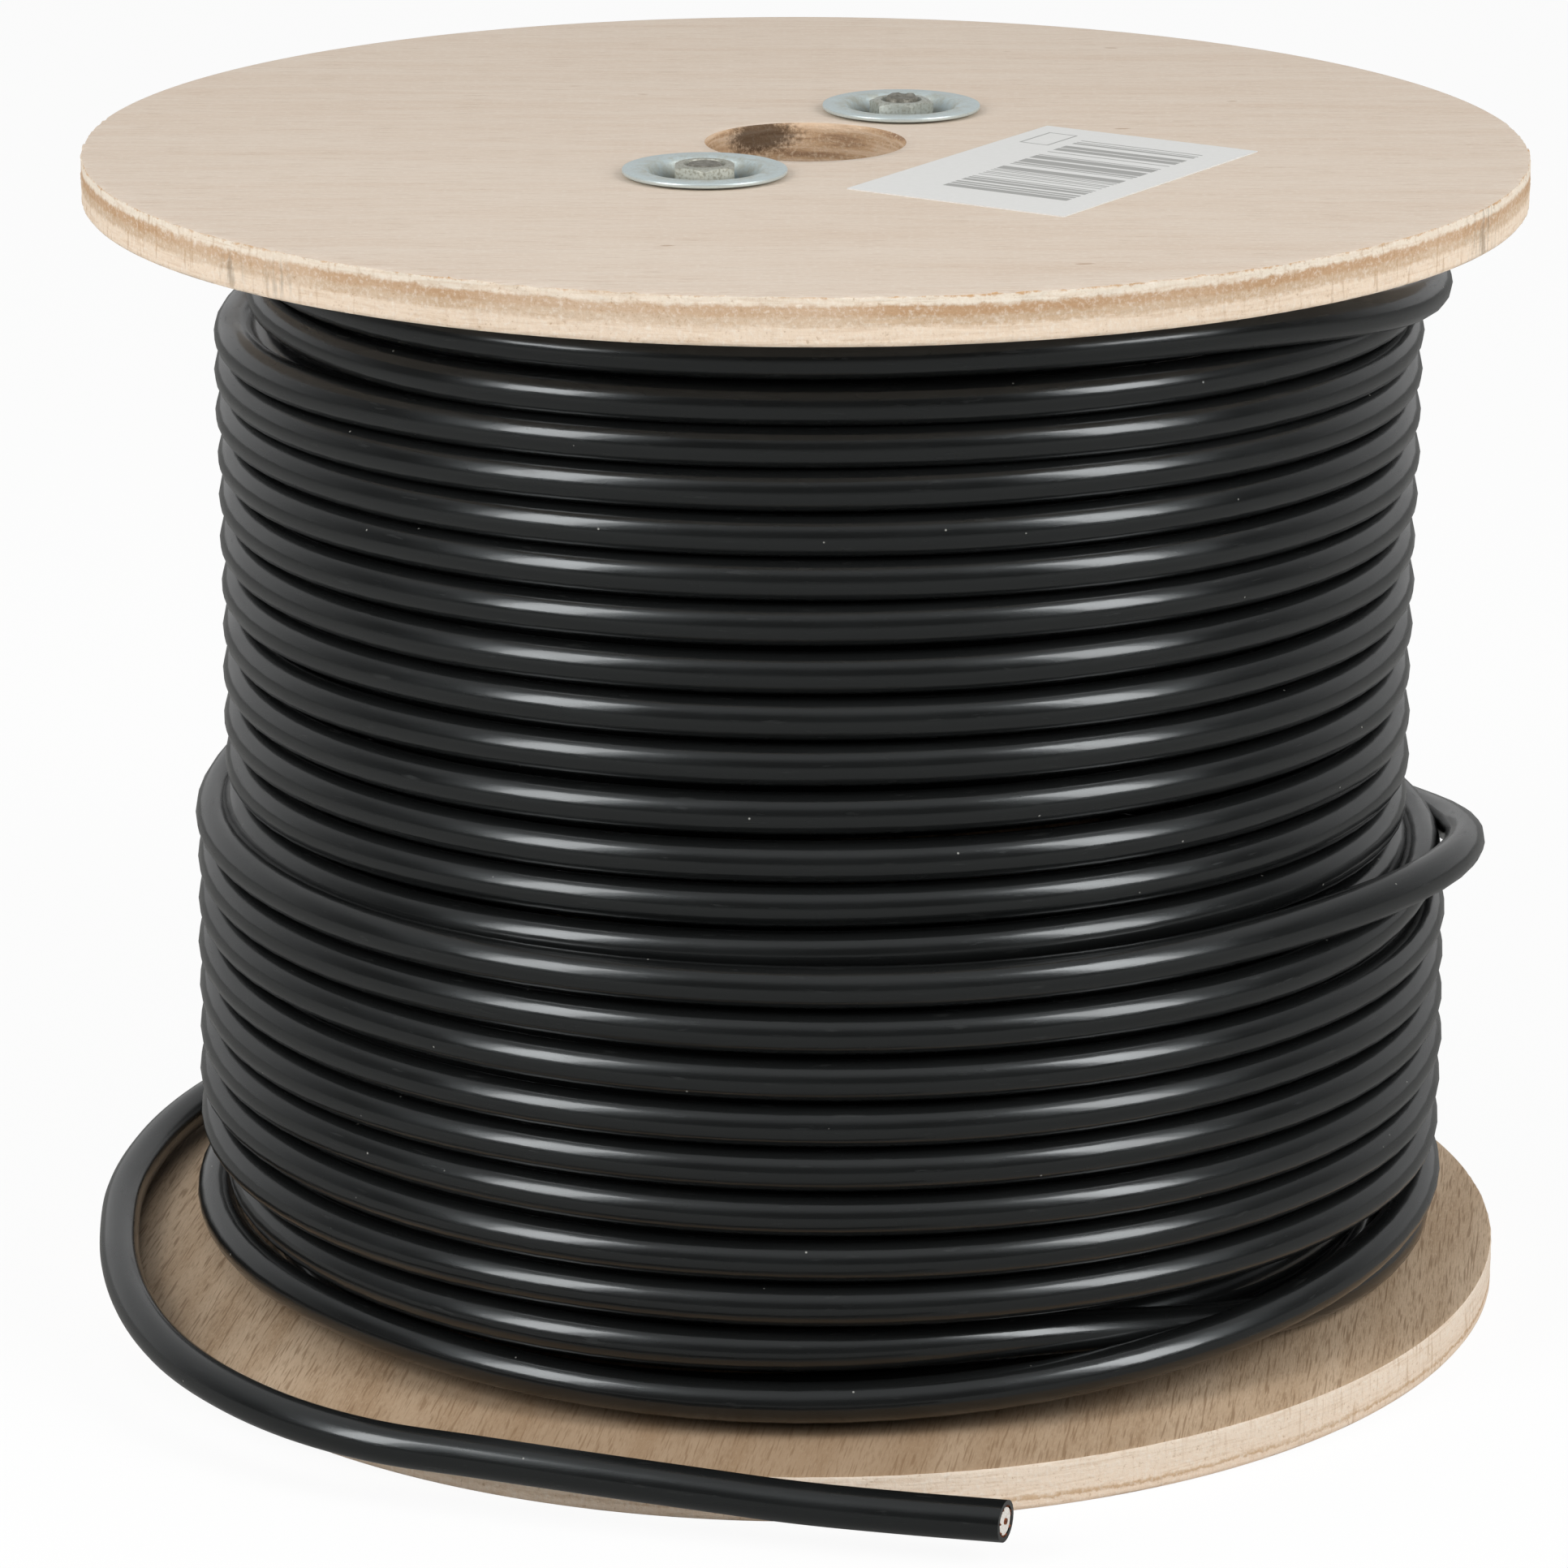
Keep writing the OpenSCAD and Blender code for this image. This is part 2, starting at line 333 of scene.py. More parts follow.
def jacket_finish(settings):
    """Extruded black PVC: glossy, with a drawn skin that frays the ends of highlights, scuffs and dust."""
    finish, tree, skin = new_material("extruded_black_pvc")
    uv = shade(tree, "TexCoord", out="UV")
    # Sizes along the cable and round it: lines from the die, dull patches from handling, scuffs where turns
    # rubbed on each other, low swellings and a fine grain.
    lines, patches, rubbed, swelling, peel = (
        shade(tree, "TexNoise", {
            "Vector": shade(tree, "Mapping", {"Vector": uv, "Scale": per_mm(*sizes, 1)}),
            "Scale": 1.0, "Detail": detail, "Roughness": roughness})
        for sizes, detail, roughness in (
            ((9, 0.6), 3.0, 0.6), ((26, 5), 2.0, 0.5), ((7, 1.1), 4.0, 0.5), ((15, 2.4), 3.0, 0.5),
            ((1.0, 0.4), 2.0, 0.5)))
    # Specks of dust about a third of a millimetre across, in half of the cells of 6 mm.
    place = shade(tree, "TexCoord", out="Object")
    cells = shade(tree, "TexVoronoi", {"Vector": place, "Scale": per_mm(6.0)[0]}).node.outputs
    near = shade(tree, "MapRange", {"Value": cells["Distance"], "From Min": 0.038, "From Max": 0.018})
    chosen = shade(tree, "Math", {0: cells["Color"], 1: 0.5}, operation="GREATER_THAN")
    speck = shade(tree, "Math", {0: near, 1: chosen}, operation="MULTIPLY")
    scuff = shade(tree, "MapRange", {"Value": rubbed, "From Min": 0.64, "From Max": 0.76})
    faint = shade(tree, "Math", {0: scuff, 1: 0.10}, operation="MULTIPLY")
    rough = shade(tree, "MapRange", {
        "Value": patches, "From Min": 0.35, "From Max": 0.7, "To Min": 0.20, "To Max": 0.34})
    dull = shade(tree, "Math", {0: scuff, 1: 0.15, 2: rough}, operation="MULTIPLY_ADD")
    swollen = shade(tree, "Bump", {"Height": swelling, "Strength": 0.6, "Distance": 0.06 * MM})
    grained = shade(tree, "Math", {0: peel, 1: 0.7, 2: lines}, operation="MULTIPLY_ADD")
    feed(tree, skin, {
        "Base Color": layered(tree, settings.jacket, (faint, "#5A5B59"), (speck, settings.dust)),
        "Roughness": shade(tree, "Math", {0: speck, 1: 0.4, 2: dull}, operation="MULTIPLY_ADD"),
        "Normal": shade(tree, "Bump", {
            "Height": grained, "Strength": 0.7, "Distance": 0.022 * MM, "Normal": swollen}),
        "IOR": 1.44, "Specular Tint": rgba("#F4FCFF"), "Coat Weight": 0.4, "Coat Roughness": 0.09})
    return finish


def face_finish(settings):
    """Face veneer of the upper flange: pale and matt, with pinkish bands, pores along X and brown marks."""
    finish, tree, skin = new_material("pale_face_veneer")
    place = shade(tree, "TexCoord", out="Object")
    # Sizes along the grain, across it and down.
    broad, pores, fuzz, marks, fine = (
        shade(tree, "TexNoise", {
            "Vector": shade(tree, "Mapping", {"Vector": place, "Location": start, "Scale": per_mm(*sizes)}),
            "Scale": 1.0, "Detail": detail, "Distortion": bend})
        for sizes, detail, bend, start in (
            ((70, 7, 20), 4.0, 0.5, (0, 0, 0)), ((7, 0.5, 5), 2.0, 0.0, (0, 0, 0)),
            ((1.1, 0.5, 1), 2.0, 0.0, (0, 0, 0)), ((11, 4.5, 5), 1.0, 0.0, (0.31, 0.77, 0)),
            ((26, 1.5, 10), 3.0, 0.0, (0, 0, 0))))
    wide_streaks, fine_streaks = (
        shade(tree, "MapRange", {"Value": pattern, "From Min": start, "From Max": full, "To Max": most})
        for pattern, start, full, most in ((broad, 0.42, 0.75, 0.32), (fine, 0.45, 0.72, 0.30)))
    streaks = shade(tree, "Math", {0: wide_streaks, 1: fine_streaks}, operation="ADD")
    height = shade(tree, "Math", {0: pores, 1: 0.7, 2: fuzz}, operation="MULTIPLY_ADD")
    feed(tree, skin, {
        "Base Color": layered(
            tree, settings.face, (streaks, settings.streak), ((pores, 0.54, 0.76, 0.45), "#B49A82"),
            ((fuzz, 0.50, 0.72, 0.42), "#E8DED1"), ((marks, 0.775, 0.80, 0.55), "#A17C5B")),
        "Normal": shade(tree, "Bump", {"Height": height, "Strength": 0.35, "Distance": 0.06 * MM}),
        "Roughness": 0.72, "Specular IOR Level": 0.3})
    return finish


def brown_face_finish(settings):
    """Beech veneer of the lower flange: brown, with short dark flecks along the grain, nearly along Y."""
    finish, tree, skin = new_material("brown_beech_veneer")
    place = shade(tree, "TexCoord", out="Object")
    grain = shade(tree, "Mapping", {"Vector": place, "Rotation": (0, 0, math.radians(8))})
    # Sizes across the grain, along it and down.
    flecks, rays, bands, fuzz = (
        shade(tree, "TexNoise", {
            "Vector": shade(tree, "Mapping", {"Vector": grain, "Scale": per_mm(*sizes)}),
            "Scale": 1.0, "Detail": detail})
        for sizes, detail in (
            ((0.30, 3.6, 5), 2.0), ((0.34, 8, 5), 0.0), ((7, 60, 10), 3.0), ((0.4, 1.4, 1), 2.0)))
    fleck, ray = (
        shade(tree, "MapRange", {"Value": pattern, "From Min": start, "From Max": full, "To Max": most})
        for pattern, start, full, most in ((flecks, 0.50, 0.72, 0.45), (rays, 0.63, 0.74, 0.6)))
    dark = shade(tree, "Math", {0: fleck, 1: ray}, operation="MAXIMUM")
    # Painted shade: the board is darker round a place at the front, where the winding and the free end cast
    # their shadows.
    painted_shade_place = (-15 * MM, -122 * MM, LOWER_TOP)
    gap = shade(tree, "VectorMath", {0: place, 1: painted_shade_place}, operation="DISTANCE", out="Value")
    feed(tree, skin, {
        "Base Color": layered(
            tree, settings.lower, ((bands, 0.35, 0.7, 1.0), "#B99D7F"), ((fuzz, 0.5, 0.75, 0.5), "#D6C0A4"),
            (dark, settings.fleck), ((gap, 95 * MM, 30 * MM, 0.5), "#8F7356")),
        "Normal": shade(tree, "Bump", {"Height": flecks, "Strength": 0.5, "Distance": 0.1 * MM}, invert=True),
        "Roughness": 0.7, "Specular IOR Level": 0.3})
    return finish


def edge_finish(name, low, thickness, bands, clear, smudges):
    """Sawn plywood edge: plies in their colours, crumbly end grain, upright brown dashes and grey smudges."""
    finish, tree, skin = new_material(name)
    place = shade(tree, "TexCoord", out="Object")
    parts = shade(tree, "SeparateXYZ", {0: place}).node.outputs
    wander, ragged, blots, crumbs = (
        shade(tree, "TexNoise", {
            "Vector": place, "Scale": per_mm(size)[0], "Detail": detail, "Roughness": roughness})
        for size, detail, roughness in ((16, 2.0, 0.5), (1.5, 3.0, 0.65), (34, 2.0, 0.5), (0.8, 4.0, 0.7)))
    # Wavy ridges 0.6 mm apart that the saw left along the edge, and cut vessels that show as upright dashes.
    ridges, upright = (
        shade(tree, "TexNoise", {
            "Vector": shade(tree, "Mapping", {"Vector": place, "Scale": per_mm(*sizes)}),
            "Scale": 1.0, "Detail": 2.0, "Distortion": bend})
        for sizes, bend in (((9, 9, 0.6), 0.6), ((0.9, 0.9, 7), 0.0)))
    rise = shade(tree, "MapRange", {"Value": parts["Z"], "From Min": low, "From Max": low + thickness})
    swayed = shade(tree, "Math", {0: wander, 1: 0.14, 2: rise}, operation="MULTIPLY_ADD")
    torn = shade(tree, "Math", {0: ragged, 1: 0.22, 2: swayed}, operation="MULTIPLY_ADD")
    level = shade(tree, "Math", {0: torn, 1: 0.18}, operation="SUBTRACT")
    plies = shade(tree, "ValToRGB", {"Fac": level}, stops=bands)
    # The plies are smeared together in blots, and they come clear from one place along X to another.
    blot = shade(tree, "MapRange", {"Value": blots, "From Min": 0.42, "From Max": 0.62, "To Max": 0.38})
    dim = shade(tree, "MapRange", {
        "Value": parts["X"], "From Min": clear[0], "From Max": clear[1], "To Min": 0.75, "To Max": 0.0})
    smear = shade(tree, "Math", {0: blot, 1: dim}, operation="MAXIMUM")
    # The dashes show mostly at the sides, where the grain meets the edge.
    side = shade(tree, "Math", {0: parts["X"]}, operation="ABSOLUTE")
    sidedness = shade(tree, "MapRange", {
        "Value": side, "From Min": 50 * MM, "From Max": 110 * MM, "To Min": 0.10, "To Max": 0.5})
    dash = shade(tree, "MapRange", {"Value": upright, "From Min": 0.58, "From Max": 0.72})
    dashes = shade(tree, "Math", {0: dash, 1: sidedness}, operation="MULTIPLY")
    painted = layered(
        tree, plies, (smear, "#E6D3BE"), ((ridges, 0.5, 0.68, 0.32), "#C9A988"),
        ((crumbs, 0.5, 0.72, 0.55), "#F2EADF"), ((crumbs, 0.40, 0.30, 0.5), "#A5815C"), (dashes, "#B08A60"))
    grime = shade(tree, "MapRange", {"Value": upright, "From Min": 0.42, "From Max": 0.62, "To Max": 0.42})
    for spot, reach in smudges:
        gap = shade(tree, "VectorMath", {0: place, 1: spot}, operation="DISTANCE", out="Value")
        patch = shade(tree, "MapRange", {"Value": gap, "From Min": reach, "From Max": reach * 0.35})
        smudge = shade(tree, "Math", {0: patch, 1: grime}, operation="MULTIPLY")
        painted = layered(tree, painted, (smudge, "#7C7468"))
    height = shade(tree, "Math", {0: upright, 1: 0.5, 2: crumbs}, operation="MULTIPLY_ADD")
    carved = shade(tree, "Math", {0: ridges, 1: -0.6, 2: height}, operation="MULTIPLY_ADD")
    feed(tree, skin, {
        "Base Color": painted,
        "Normal": shade(tree, "Bump", {"Height": carved, "Strength": 0.6, "Distance": 0.25 * MM}),
        "Roughness": 0.85, "Specular IOR Level": 0.2})
    return finish


def bore_finish(settings):
    """Drilled plywood: brown layered wall, furry and scorched by the drill in places."""
    finish, tree, skin = new_material("drilled_plywood")
    place = shade(tree, "TexCoord", out="Object")
    layers = shade(tree, "TexNoise", {
        "Vector": shade(tree, "Mapping", {"Vector": place, "Scale": per_mm(14, 14, 1.1)}),
        "Scale": 1.0, "Detail": 4.0})
    fur = shade(tree, "TexNoise", {
        "Vector": place, "Scale": per_mm(0.7)[0], "Detail": 4.0, "Roughness": 0.65})
    wall = shade(tree, "ValToRGB", {"Fac": layers}, stops=[
        (0.3, "#9E7E63"), (0.48, "#C6A482"), (0.62, "#DEC2A6"), (0.75, "#AE8F73")])
    # The burn is deepest at the back left, in the upper half of the board, and wider than it is high.
    flatness = 2.2
    burnt_place = (-8 * MM, 15 * MM, (UPPER_TOP - 2.0 * MM) * flatness)
    tall = shade(tree, "VectorMath", {0: place, 1: (1, 1, flatness)}, operation="MULTIPLY")
    gap = shade(tree, "VectorMath", {0: tall, 1: burnt_place}, operation="DISTANCE", out="Value")
    wisp = shade(tree, "Math", {0: fur, 1: 9 * MM, 2: gap}, operation="MULTIPLY_ADD")
    feed(tree, skin, {
        "Base Color": layered(
            tree, wall, ((fur, 0.5, 0.68, 0.75), "#DBC3A8"),
            ((wisp, 12.5 * MM, 9.0 * MM, 0.78), settings.scorch)),
        "Normal": shade(tree, "Bump", {"Height": fur, "Strength": 0.7, "Distance": 0.3 * MM}),
        "Roughness": 0.9, "Specular IOR Level": 0.15})
    return finish


def zinc_finish(name, plate, stain, centre, stain_from, stain_to, roughness, speckles, painted_cup_shade=0.0):
    """Zinc plate on steel: bluish and half dull, with painted shade in a cup, a yellowed ring and grainy
    blooms.
    """
    finish, tree, skin = new_material(name)
    place = shade(tree, "TexCoord", out="Object")
    local = shade(tree, "Mapping", {"Vector": place, "Location": (-centre[0], -centre[1], 0)})
    flat = shade(tree, "VectorMath", {0: local, 1: (1, 1, 0)}, operation="MULTIPLY")
    out = shade(tree, "VectorMath", {0: flat}, operation="LENGTH", out="Value")
    bloom = shade(tree, "TexNoise", {
        "Vector": place, "Scale": per_mm(2.6)[0], "Detail": 4.0, "Roughness": 0.65})
    grit = shade(tree, "TexNoise", {"Vector": place, "Scale": per_mm(0.5)[0], "Detail": 2.0})
    edge = shade(tree, "Math", {0: bloom, 1: 3.0 * MM, 2: out}, operation="MULTIPLY_ADD")
    inside, past = (
        shade(tree, "MapRange", {"Value": edge, "From Min": start, "From Max": full})
        for start, full in ((stain_to + 3.0 * MM, stain_to + 0.8 * MM), (stain_from, stain_from + 1.5 * MM)))
    ring = shade(tree, "Math", {0: inside, 1: past}, operation="MULTIPLY")
    patchy = shade(tree, "MapRange", {"Value": bloom, "From Min": 0.38, "From Max": 0.62, "To Max": 0.4})
    yellowed = shade(tree, "Math", {0: ring, 1: patchy}, operation="MULTIPLY")
    dulled = shade(tree, "MapRange", {
        "Value": grit, "From Min": 0.3, "From Max": 0.7,
        "To Min": roughness - 0.08, "To Max": roughness + 0.08})
    feed(tree, skin, {
        # The second layer is painted shade, which darkens the wall of a cup below its rim.
        "Base Color": layered(
            tree, plate, ((bloom, 0.35, 0.7, 0.6), "#CCD5D5"),
            ((out, 9.6 * MM, 7.8 * MM, painted_cup_shade), "#47565E"), (yellowed, stain),
            ((grit, 0.48, 0.66, speckles), "#6F684F")),
        "Roughness": shade(tree, "Math", {0: yellowed, 1: 0.2, 2: dulled}, operation="MULTIPLY_ADD"),
        "Normal": shade(tree, "Bump", {"Height": grit, "Strength": 0.25, "Distance": 0.05 * MM}),
        "Metallic": 0.6})
    return finish


def bolt_finish(settings):
    """Cut steel rod: dull grey, with darker mottling."""
    finish, tree, skin = new_material("cut_steel_rod")
    place = shade(tree, "TexCoord", out="Object")
    mottle = shade(tree, "TexNoise", {
        "Vector": place, "Scale": per_mm(1.4)[0], "Detail": 4.0, "Roughness": 0.7})
    feed(tree, skin, {
        "Base Color": shade(tree, "ValToRGB", {"Fac": mottle}, stops=[
            (0.32, "#5F5C54"), (0.5, settings.steel[:]), (0.68, "#96938A")]),
        "Roughness": shade(tree, "MapRange", {
            "Value": mottle, "From Min": 0.3, "From Max": 0.7, "To Min": 0.65, "To Max": 0.4}),
        "Normal": shade(tree, "Bump", {"Height": mottle, "Strength": 0.5, "Distance": 0.15 * MM}),
        "Metallic": 0.4})
    return finish


def label_finish(settings, centre):
    """Printed paper: slightly grey white with a block of plain grey bars and an empty box."""
    finish, tree, skin = new_material("printed_label_paper")
    place = shade(tree, "TexCoord", out="Object")
    moved = shade(tree, "VectorMath", {0: place, 1: (centre.x, centre.y, 0)}, operation="SUBTRACT")
    local = shade(tree, "VectorRotate", {"Vector": moved, "Angle": -settings.turn}, rotation_type="Z_AXIS")
    parts = shade(tree, "SeparateXYZ", {0: local}).node.outputs
    along, across = parts["X"], parts["Y"]

    def within(value, low, high):
        """One between two lengths in millimetres, nothing outside."""
        over = shade(tree, "Math", {0: value, 1: low * MM}, operation="GREATER_THAN")
        under = shade(tree, "Math", {0: value, 1: high * MM}, operation="LESS_THAN")
        return shade(tree, "Math", {0: over, 1: under}, operation="MULTIPLY")

    def block(x0, x1, y0, y1):
        """One inside a rectangle of the label."""
        wide, tall = within(along, x0, x1), within(across, y0, y1)
        return shade(tree, "Math", {0: wide, 1: tall}, operation="MULTIPLY")

    # Bars and gaps of half-millimetre steps, with no meaning.
    step = shade(tree, "Math", {0: along, 1: per_mm(0.5)[0]}, operation="MULTIPLY")
    cell = shade(tree, "Math", {0: step}, operation="FLOOR")
    chance = shade(tree, "TexWhiteNoise", {"W": cell}, noise_dimensions="1D", out="Value")
    bar = shade(tree, "Math", {0: chance, 1: 0.42}, operation="GREATER_THAN")
    bars = shade(tree, "Math", {0: bar, 1: block(-22, 25, -15, 9)}, operation="MULTIPLY")
    box, hollow = block(17.4, 27.8, 11.7, 17.5), block(17.8, 27.4, 12.1, 17.1)
    outline = shade(tree, "Math", {0: box, 1: hollow}, operation="SUBTRACT")
    ink = shade(tree, "Math", {0: bars, 1: outline}, operation="MAXIMUM")
    fibre = shade(tree, "TexNoise", {"Vector": place, "Scale": per_mm(1.2)[0], "Detail": 3.0})
    feed(tree, skin, {
        "Base Color": layered(tree, settings.paper, (fibre, "#DEDEDB"), (ink, settings.ink)),
        "Normal": shade(tree, "Bump", {"Height": fibre, "Strength": 0.15, "Distance": 0.03 * MM}),
        "Roughness": 0.5})
    return finish


def copper_finish(settings):
    """Bare copper strands: warm, a little tarnished."""
    finish, tree, skin = new_material("bare_copper")
    place = shade(tree, "TexCoord", out="Object")
    tarnish = shade(tree, "TexNoise", {"Vector": place, "Scale": per_mm(0.5)[0], "Detail": 3.0})
    feed(tree, skin, {
        "Base Color": layered(tree, settings.copper, ((tarnish, 0.4, 0.7, 1.0), "#8A4A30")),
        "Roughness": shade(tree, "MapRange", {"Value": tarnish, "To Min": 0.28, "To Max": 0.5}),
        "Metallic": 1.0})
    return finish


def foam_finish(settings):
    """Foamed polyethylene, cut: white and faintly cellular."""
    finish, tree, skin = new_material("foamed_polyethylene")
    place = shade(tree, "TexCoord", out="Object")
    bubbles = shade(tree, "TexVoronoi", {"Vector": place, "Scale": per_mm(0.35)[0]}, out="Distance")
    feed(tree, skin, {
        "Base Color": layered(tree, settings.foam, ((bubbles, 0.2, 0.8, 1.0), "#DAD3CA")),
        "Normal": shade(tree, "Bump", {"Height": bubbles, "Strength": 0.3, "Distance": 0.05 * MM}),
        "Roughness": 0.55})
    return finish


def tube_finish():
    """Wound cardboard: grey-brown and fibrous."""
    finish, tree, skin = new_material("spiral_cardboard")
    place = shade(tree, "TexCoord", out="Object")
    fibre = shade(tree, "TexNoise", {
        "Vector": shade(tree, "Mapping", {"Vector": place, "Scale": per_mm(1.5, 1.5, 0.6)}),
        "Scale": 1.0, "Detail": 3.0})
    feed(tree, skin, {
        "Base Color": shade(tree, "ValToRGB", {"Fac": fibre}, stops=[
            (0.3, "#8C7557"), (0.5, "#A48B69"), (0.7, "#B59E7E")]),
        "Normal": shade(tree, "Bump", {"Height": fibre, "Strength": 0.3, "Distance": 0.1 * MM}),
        "Roughness": 0.85})
    return finish


# The cable's route

# Heights in millimetres of each turn at the front of the reel.
MIDDLE_TURNS = [12.0 + 7.88 * turn for turn in range(10)] + [
    90.8, 98.6, 106.4, 114.6, 122.6, 130.5, 138.3, 146.1, 153.6, 161.1, 168.4, 175.4, 182.6, 190.1]
OUTER_TURNS = [86.8, 78.8, 70.9, 62.9, 55.0, 47.2, 39.3, 31.2, 15.1, 23.2, 11.9]
INNER_TURNS = [190.0 - 7.8 * turn for turn in range(23)]

# Where a turn leaves its place: turn, angle, reach before and after it in degrees, then millimetres outwards
# and upwards.
INNER_SLIPS = [(turn, 180, 90, 90, -5.2, 0) for turn in (0, 1, 20, 21, 22)]
MIDDLE_SLIPS = [
    (turn, place, 85, 85, inwards, 0)
    for turn in (0, 1, 2) for place, inwards in ((175, -6), (310, -5.5))] + [
    (22, 175, 68, 68, -6.5, 1.2), (23, 170, 90, 90, -6.0, 1.0), (23, 358, 52, 40, 0, -6.4)]
OUTER_SLIPS = [
    (0, 350, 34, 44, 7.8, 0), (0, 386, 46, 104, 0, -10.8), (1, 357, 40, 75, -0.9, 3.0),
    (1, 420, 45, 60, 6.8, 0), (7, 440, 60, 45, 7.2, 0), (7, 440, 40, 50, 0, -3.0),
    (8, 183, 90, 60, 1.2, 0.6), (8, 262, 45, 38, 0, -1.3), (8, 325, 45, 50, 1.3, 0),
    (8, 350, 75, 60, 0, 7.2), (8, 410, 60, 80, 0, 8.1), (9, 165, 78, 80, -5.5, -1.0),
    (9, 306, 45, 65, -6.3, 0), (9, 328, 42, 82, 0, -10.2), (9, 410, 82, 80, 0, -10.9)]

# The free end, in millimetres, as the solids have it. Its layers start to show at the last but one point.
TAIL_ROUTE = [
    (-20, 114.5, 11.9), (-36, 110.5, 12), (-51, 104.5, 12.1), (-65, 96.5, 12.2), (-78.5, 87, 12.3),
    (-90.5, 76, 12.4), (-101.5, 63.5, 12.4), (-110.5, 49.5, 12.4), (-117, 33, 12.2), (-121, 15.5, 12),
    (-122.8, -3, 11.8), (-122, -22, 11.7), (-119.5, -41.5, 11.6), (-114.5, -61.5, 11.5),
    (-107, -79.5, 11.2), (-97, -94.5, 10.9), (-84.5, -107, 10.6), (-70, -116, 10.3),
    (-53.5, -121.5, 10), (-36.5, -126.5, 9.5), (-19, -131, 8.8), (-1, -135, 7.9),
    (16.5, -138.5, 7.6), (33, -141.5, 7.5)]


def ease(share):
    """A smooth step from 0 to 1."""
    share = min(max(share, 0.0), 1.0)
    return share * share * (3 - 2 * share)


def swell(angle, centre, reach):
    """One at an angle, falling smoothly to nothing a reach away."""
    gap = abs(angle - centre) / reach
    return 0.5 + 0.5 * math.cos(math.pi * gap) if gap < 1 else 0.0


def layer_points(heights, radius, centre_x, first, last, steps, dip, tilt, slips, cross):
    """Points (angle, radius, height, centre) of one layer between two counts of turns from the back."""
    points = []
    count = round((last - first) * steps)
    spread = 0.11
    for step in range(count + 1):
        turns = first + (last - first) * step / count
        angle = 90 + 360 * turns
        seam = round(turns)
        away = turns - seam
        if abs(away) < spread:
            part = ease((away + spread) / (2 * spread))
            below, above = heights[max(seam - 1, 0)], heights[min(seam, len(heights) - 1)]
            height = below + (above - below) * part
        else:
            height = heights[min(int(turns), len(heights) - 1)]
        reach = radius + cross * swell(away, 0, 2 * spread)
        facing = math.radians(angle - 270)
        height += -dip * math.sin(facing) ** 2 + tilt * math.sin(facing)
        # Hand-wound turns are never quite even.
        height += 0.16 * math.sin(2 * facing + 1.9 * int(turns)) * (1 - swell(away, 0, 0.3))
        reach += 0.22 * math.sin(1.5 * facing + 2.7 * turns)
        reach += 0.17 * math.sin(7.31 * facing) + 0.12 * math.sin(12.67 * facing)
        for turn, centre, before, after, outwards, upwards in slips:
            here = angle - 360 * turn
            amount = swell(here, centre, before if here < centre else after)
            reach += outwards * amount
            height += upwards * amount
        points.append((angle, reach, height, centre_x))
    return points


def blended(points, times):
    """Evens out radius, height and centre along a route, so that no kink is left."""
    for _ in range(times):
        inner = [
            (here[0], *((back[at] + 2 * here[at] + ahead[at]) / 4 for at in (1, 2, 3)))
            for back, here, ahead in zip(points, points[1:], points[2:])]
        points = [points[0]] + inner + [points[-1]]
    return points


def winding_route(settings):
    """The wound cable's centreline: a layer down, a layer up, then across behind and a part layer down."""
    steps = settings.turn_steps
    inner, middle, outer = (
        value / MM for value in (settings.inner_radius, settings.middle_radius, settings.outer_radius))
    route = layer_points(
        INNER_TURNS, inner, centre_x=2.0, first=0.2, last=22.75, steps=steps, dip=1.75, tilt=0.55,
        slips=INNER_SLIPS, cross=0.0)
    last_turn, last_angle = 23, 265
    rising = layer_points(
        MIDDLE_TURNS, middle, centre_x=2.35, first=0.0, last=last_turn + last_angle / 360, steps=steps,
        dip=1.75, tilt=0.55, slips=MIDDLE_SLIPS, cross=1.0)
    shift = 360 * math.ceil((route[-1][0] - rising[0][0]) / 360)
    # The last turn climbs on the one below at the right.
    climb, climb_from, climb_over = 4.9, 90 + 360 * last_turn + 195, 65
    for angle, reach, height, centre in rising:
        reach += climb * ease((angle - climb_from) / climb_over)
        route.append((angle + shift, reach, height, centre))
    crossing = 2.0
    falling = layer_points(
        OUTER_TURNS, outer, centre_x=3.2, first=95 / 360, last=10 + 11.4 / 360, steps=steps, dip=0.9,
        tilt=-0.3, slips=OUTER_SLIPS, cross=crossing)
    # Behind the reel the cable runs down in one long slope.
    start, end = route[-1], falling[0]
    span = 190
    shift = start[0] + span - end[0]
    count = round(span / 360 * steps)
    for step in range(1, count):
        share = step / count
        reach = start[1] + 0.8 * swell(share, 0.5, 0.5) + (end[1] - start[1]) * ease(share)
        height = start[2] + (end[2] - start[2]) * ease(share * 1.07)
        route.append((start[0] + span * share, reach, height, start[3] + (end[3] - start[3]) * share))
    # The last quarter turn moves out to where the free end leaves.
    leave = falling[-1][0]
    outwards, out_from, out_over = 116.8 - outer - crossing, leave - 95, 93
    for angle, reach, height, centre in falling:
        reach += outwards * ease((angle - out_from) / out_over)
        route.append((angle + shift, reach, height, centre))
    points = []
    for angle, reach, height, centre in blended(route, 6):
        turn = math.radians(angle)
        points.append(Vector((centre + reach * math.cos(turn), reach * math.sin(turn), height)) * MM)
    points[-1] = Vector(TAIL_ROUTE[0]) * MM
    return points


def curve_through(points, parts):
    """A smooth curve through points, with a number of parts to each span."""
    ends = [points[0] * 2 - points[1]] + points + [points[-1] * 2 - points[-2]]
    curve = []
    for p0, p1, p2, p3 in zip(ends, ends[1:], ends[2:], ends[3:]):
        square, cube = 2 * p0 - 5 * p1 + 4 * p2 - p3, 3 * p1 - p0 - 3 * p2 + p3
        for part in range(parts):
            t = part / parts
            curve.append(0.5 * (2 * p1 + (p2 - p0) * t + square * t * t + cube * t ** 3))
    return curve + [points[-1]]


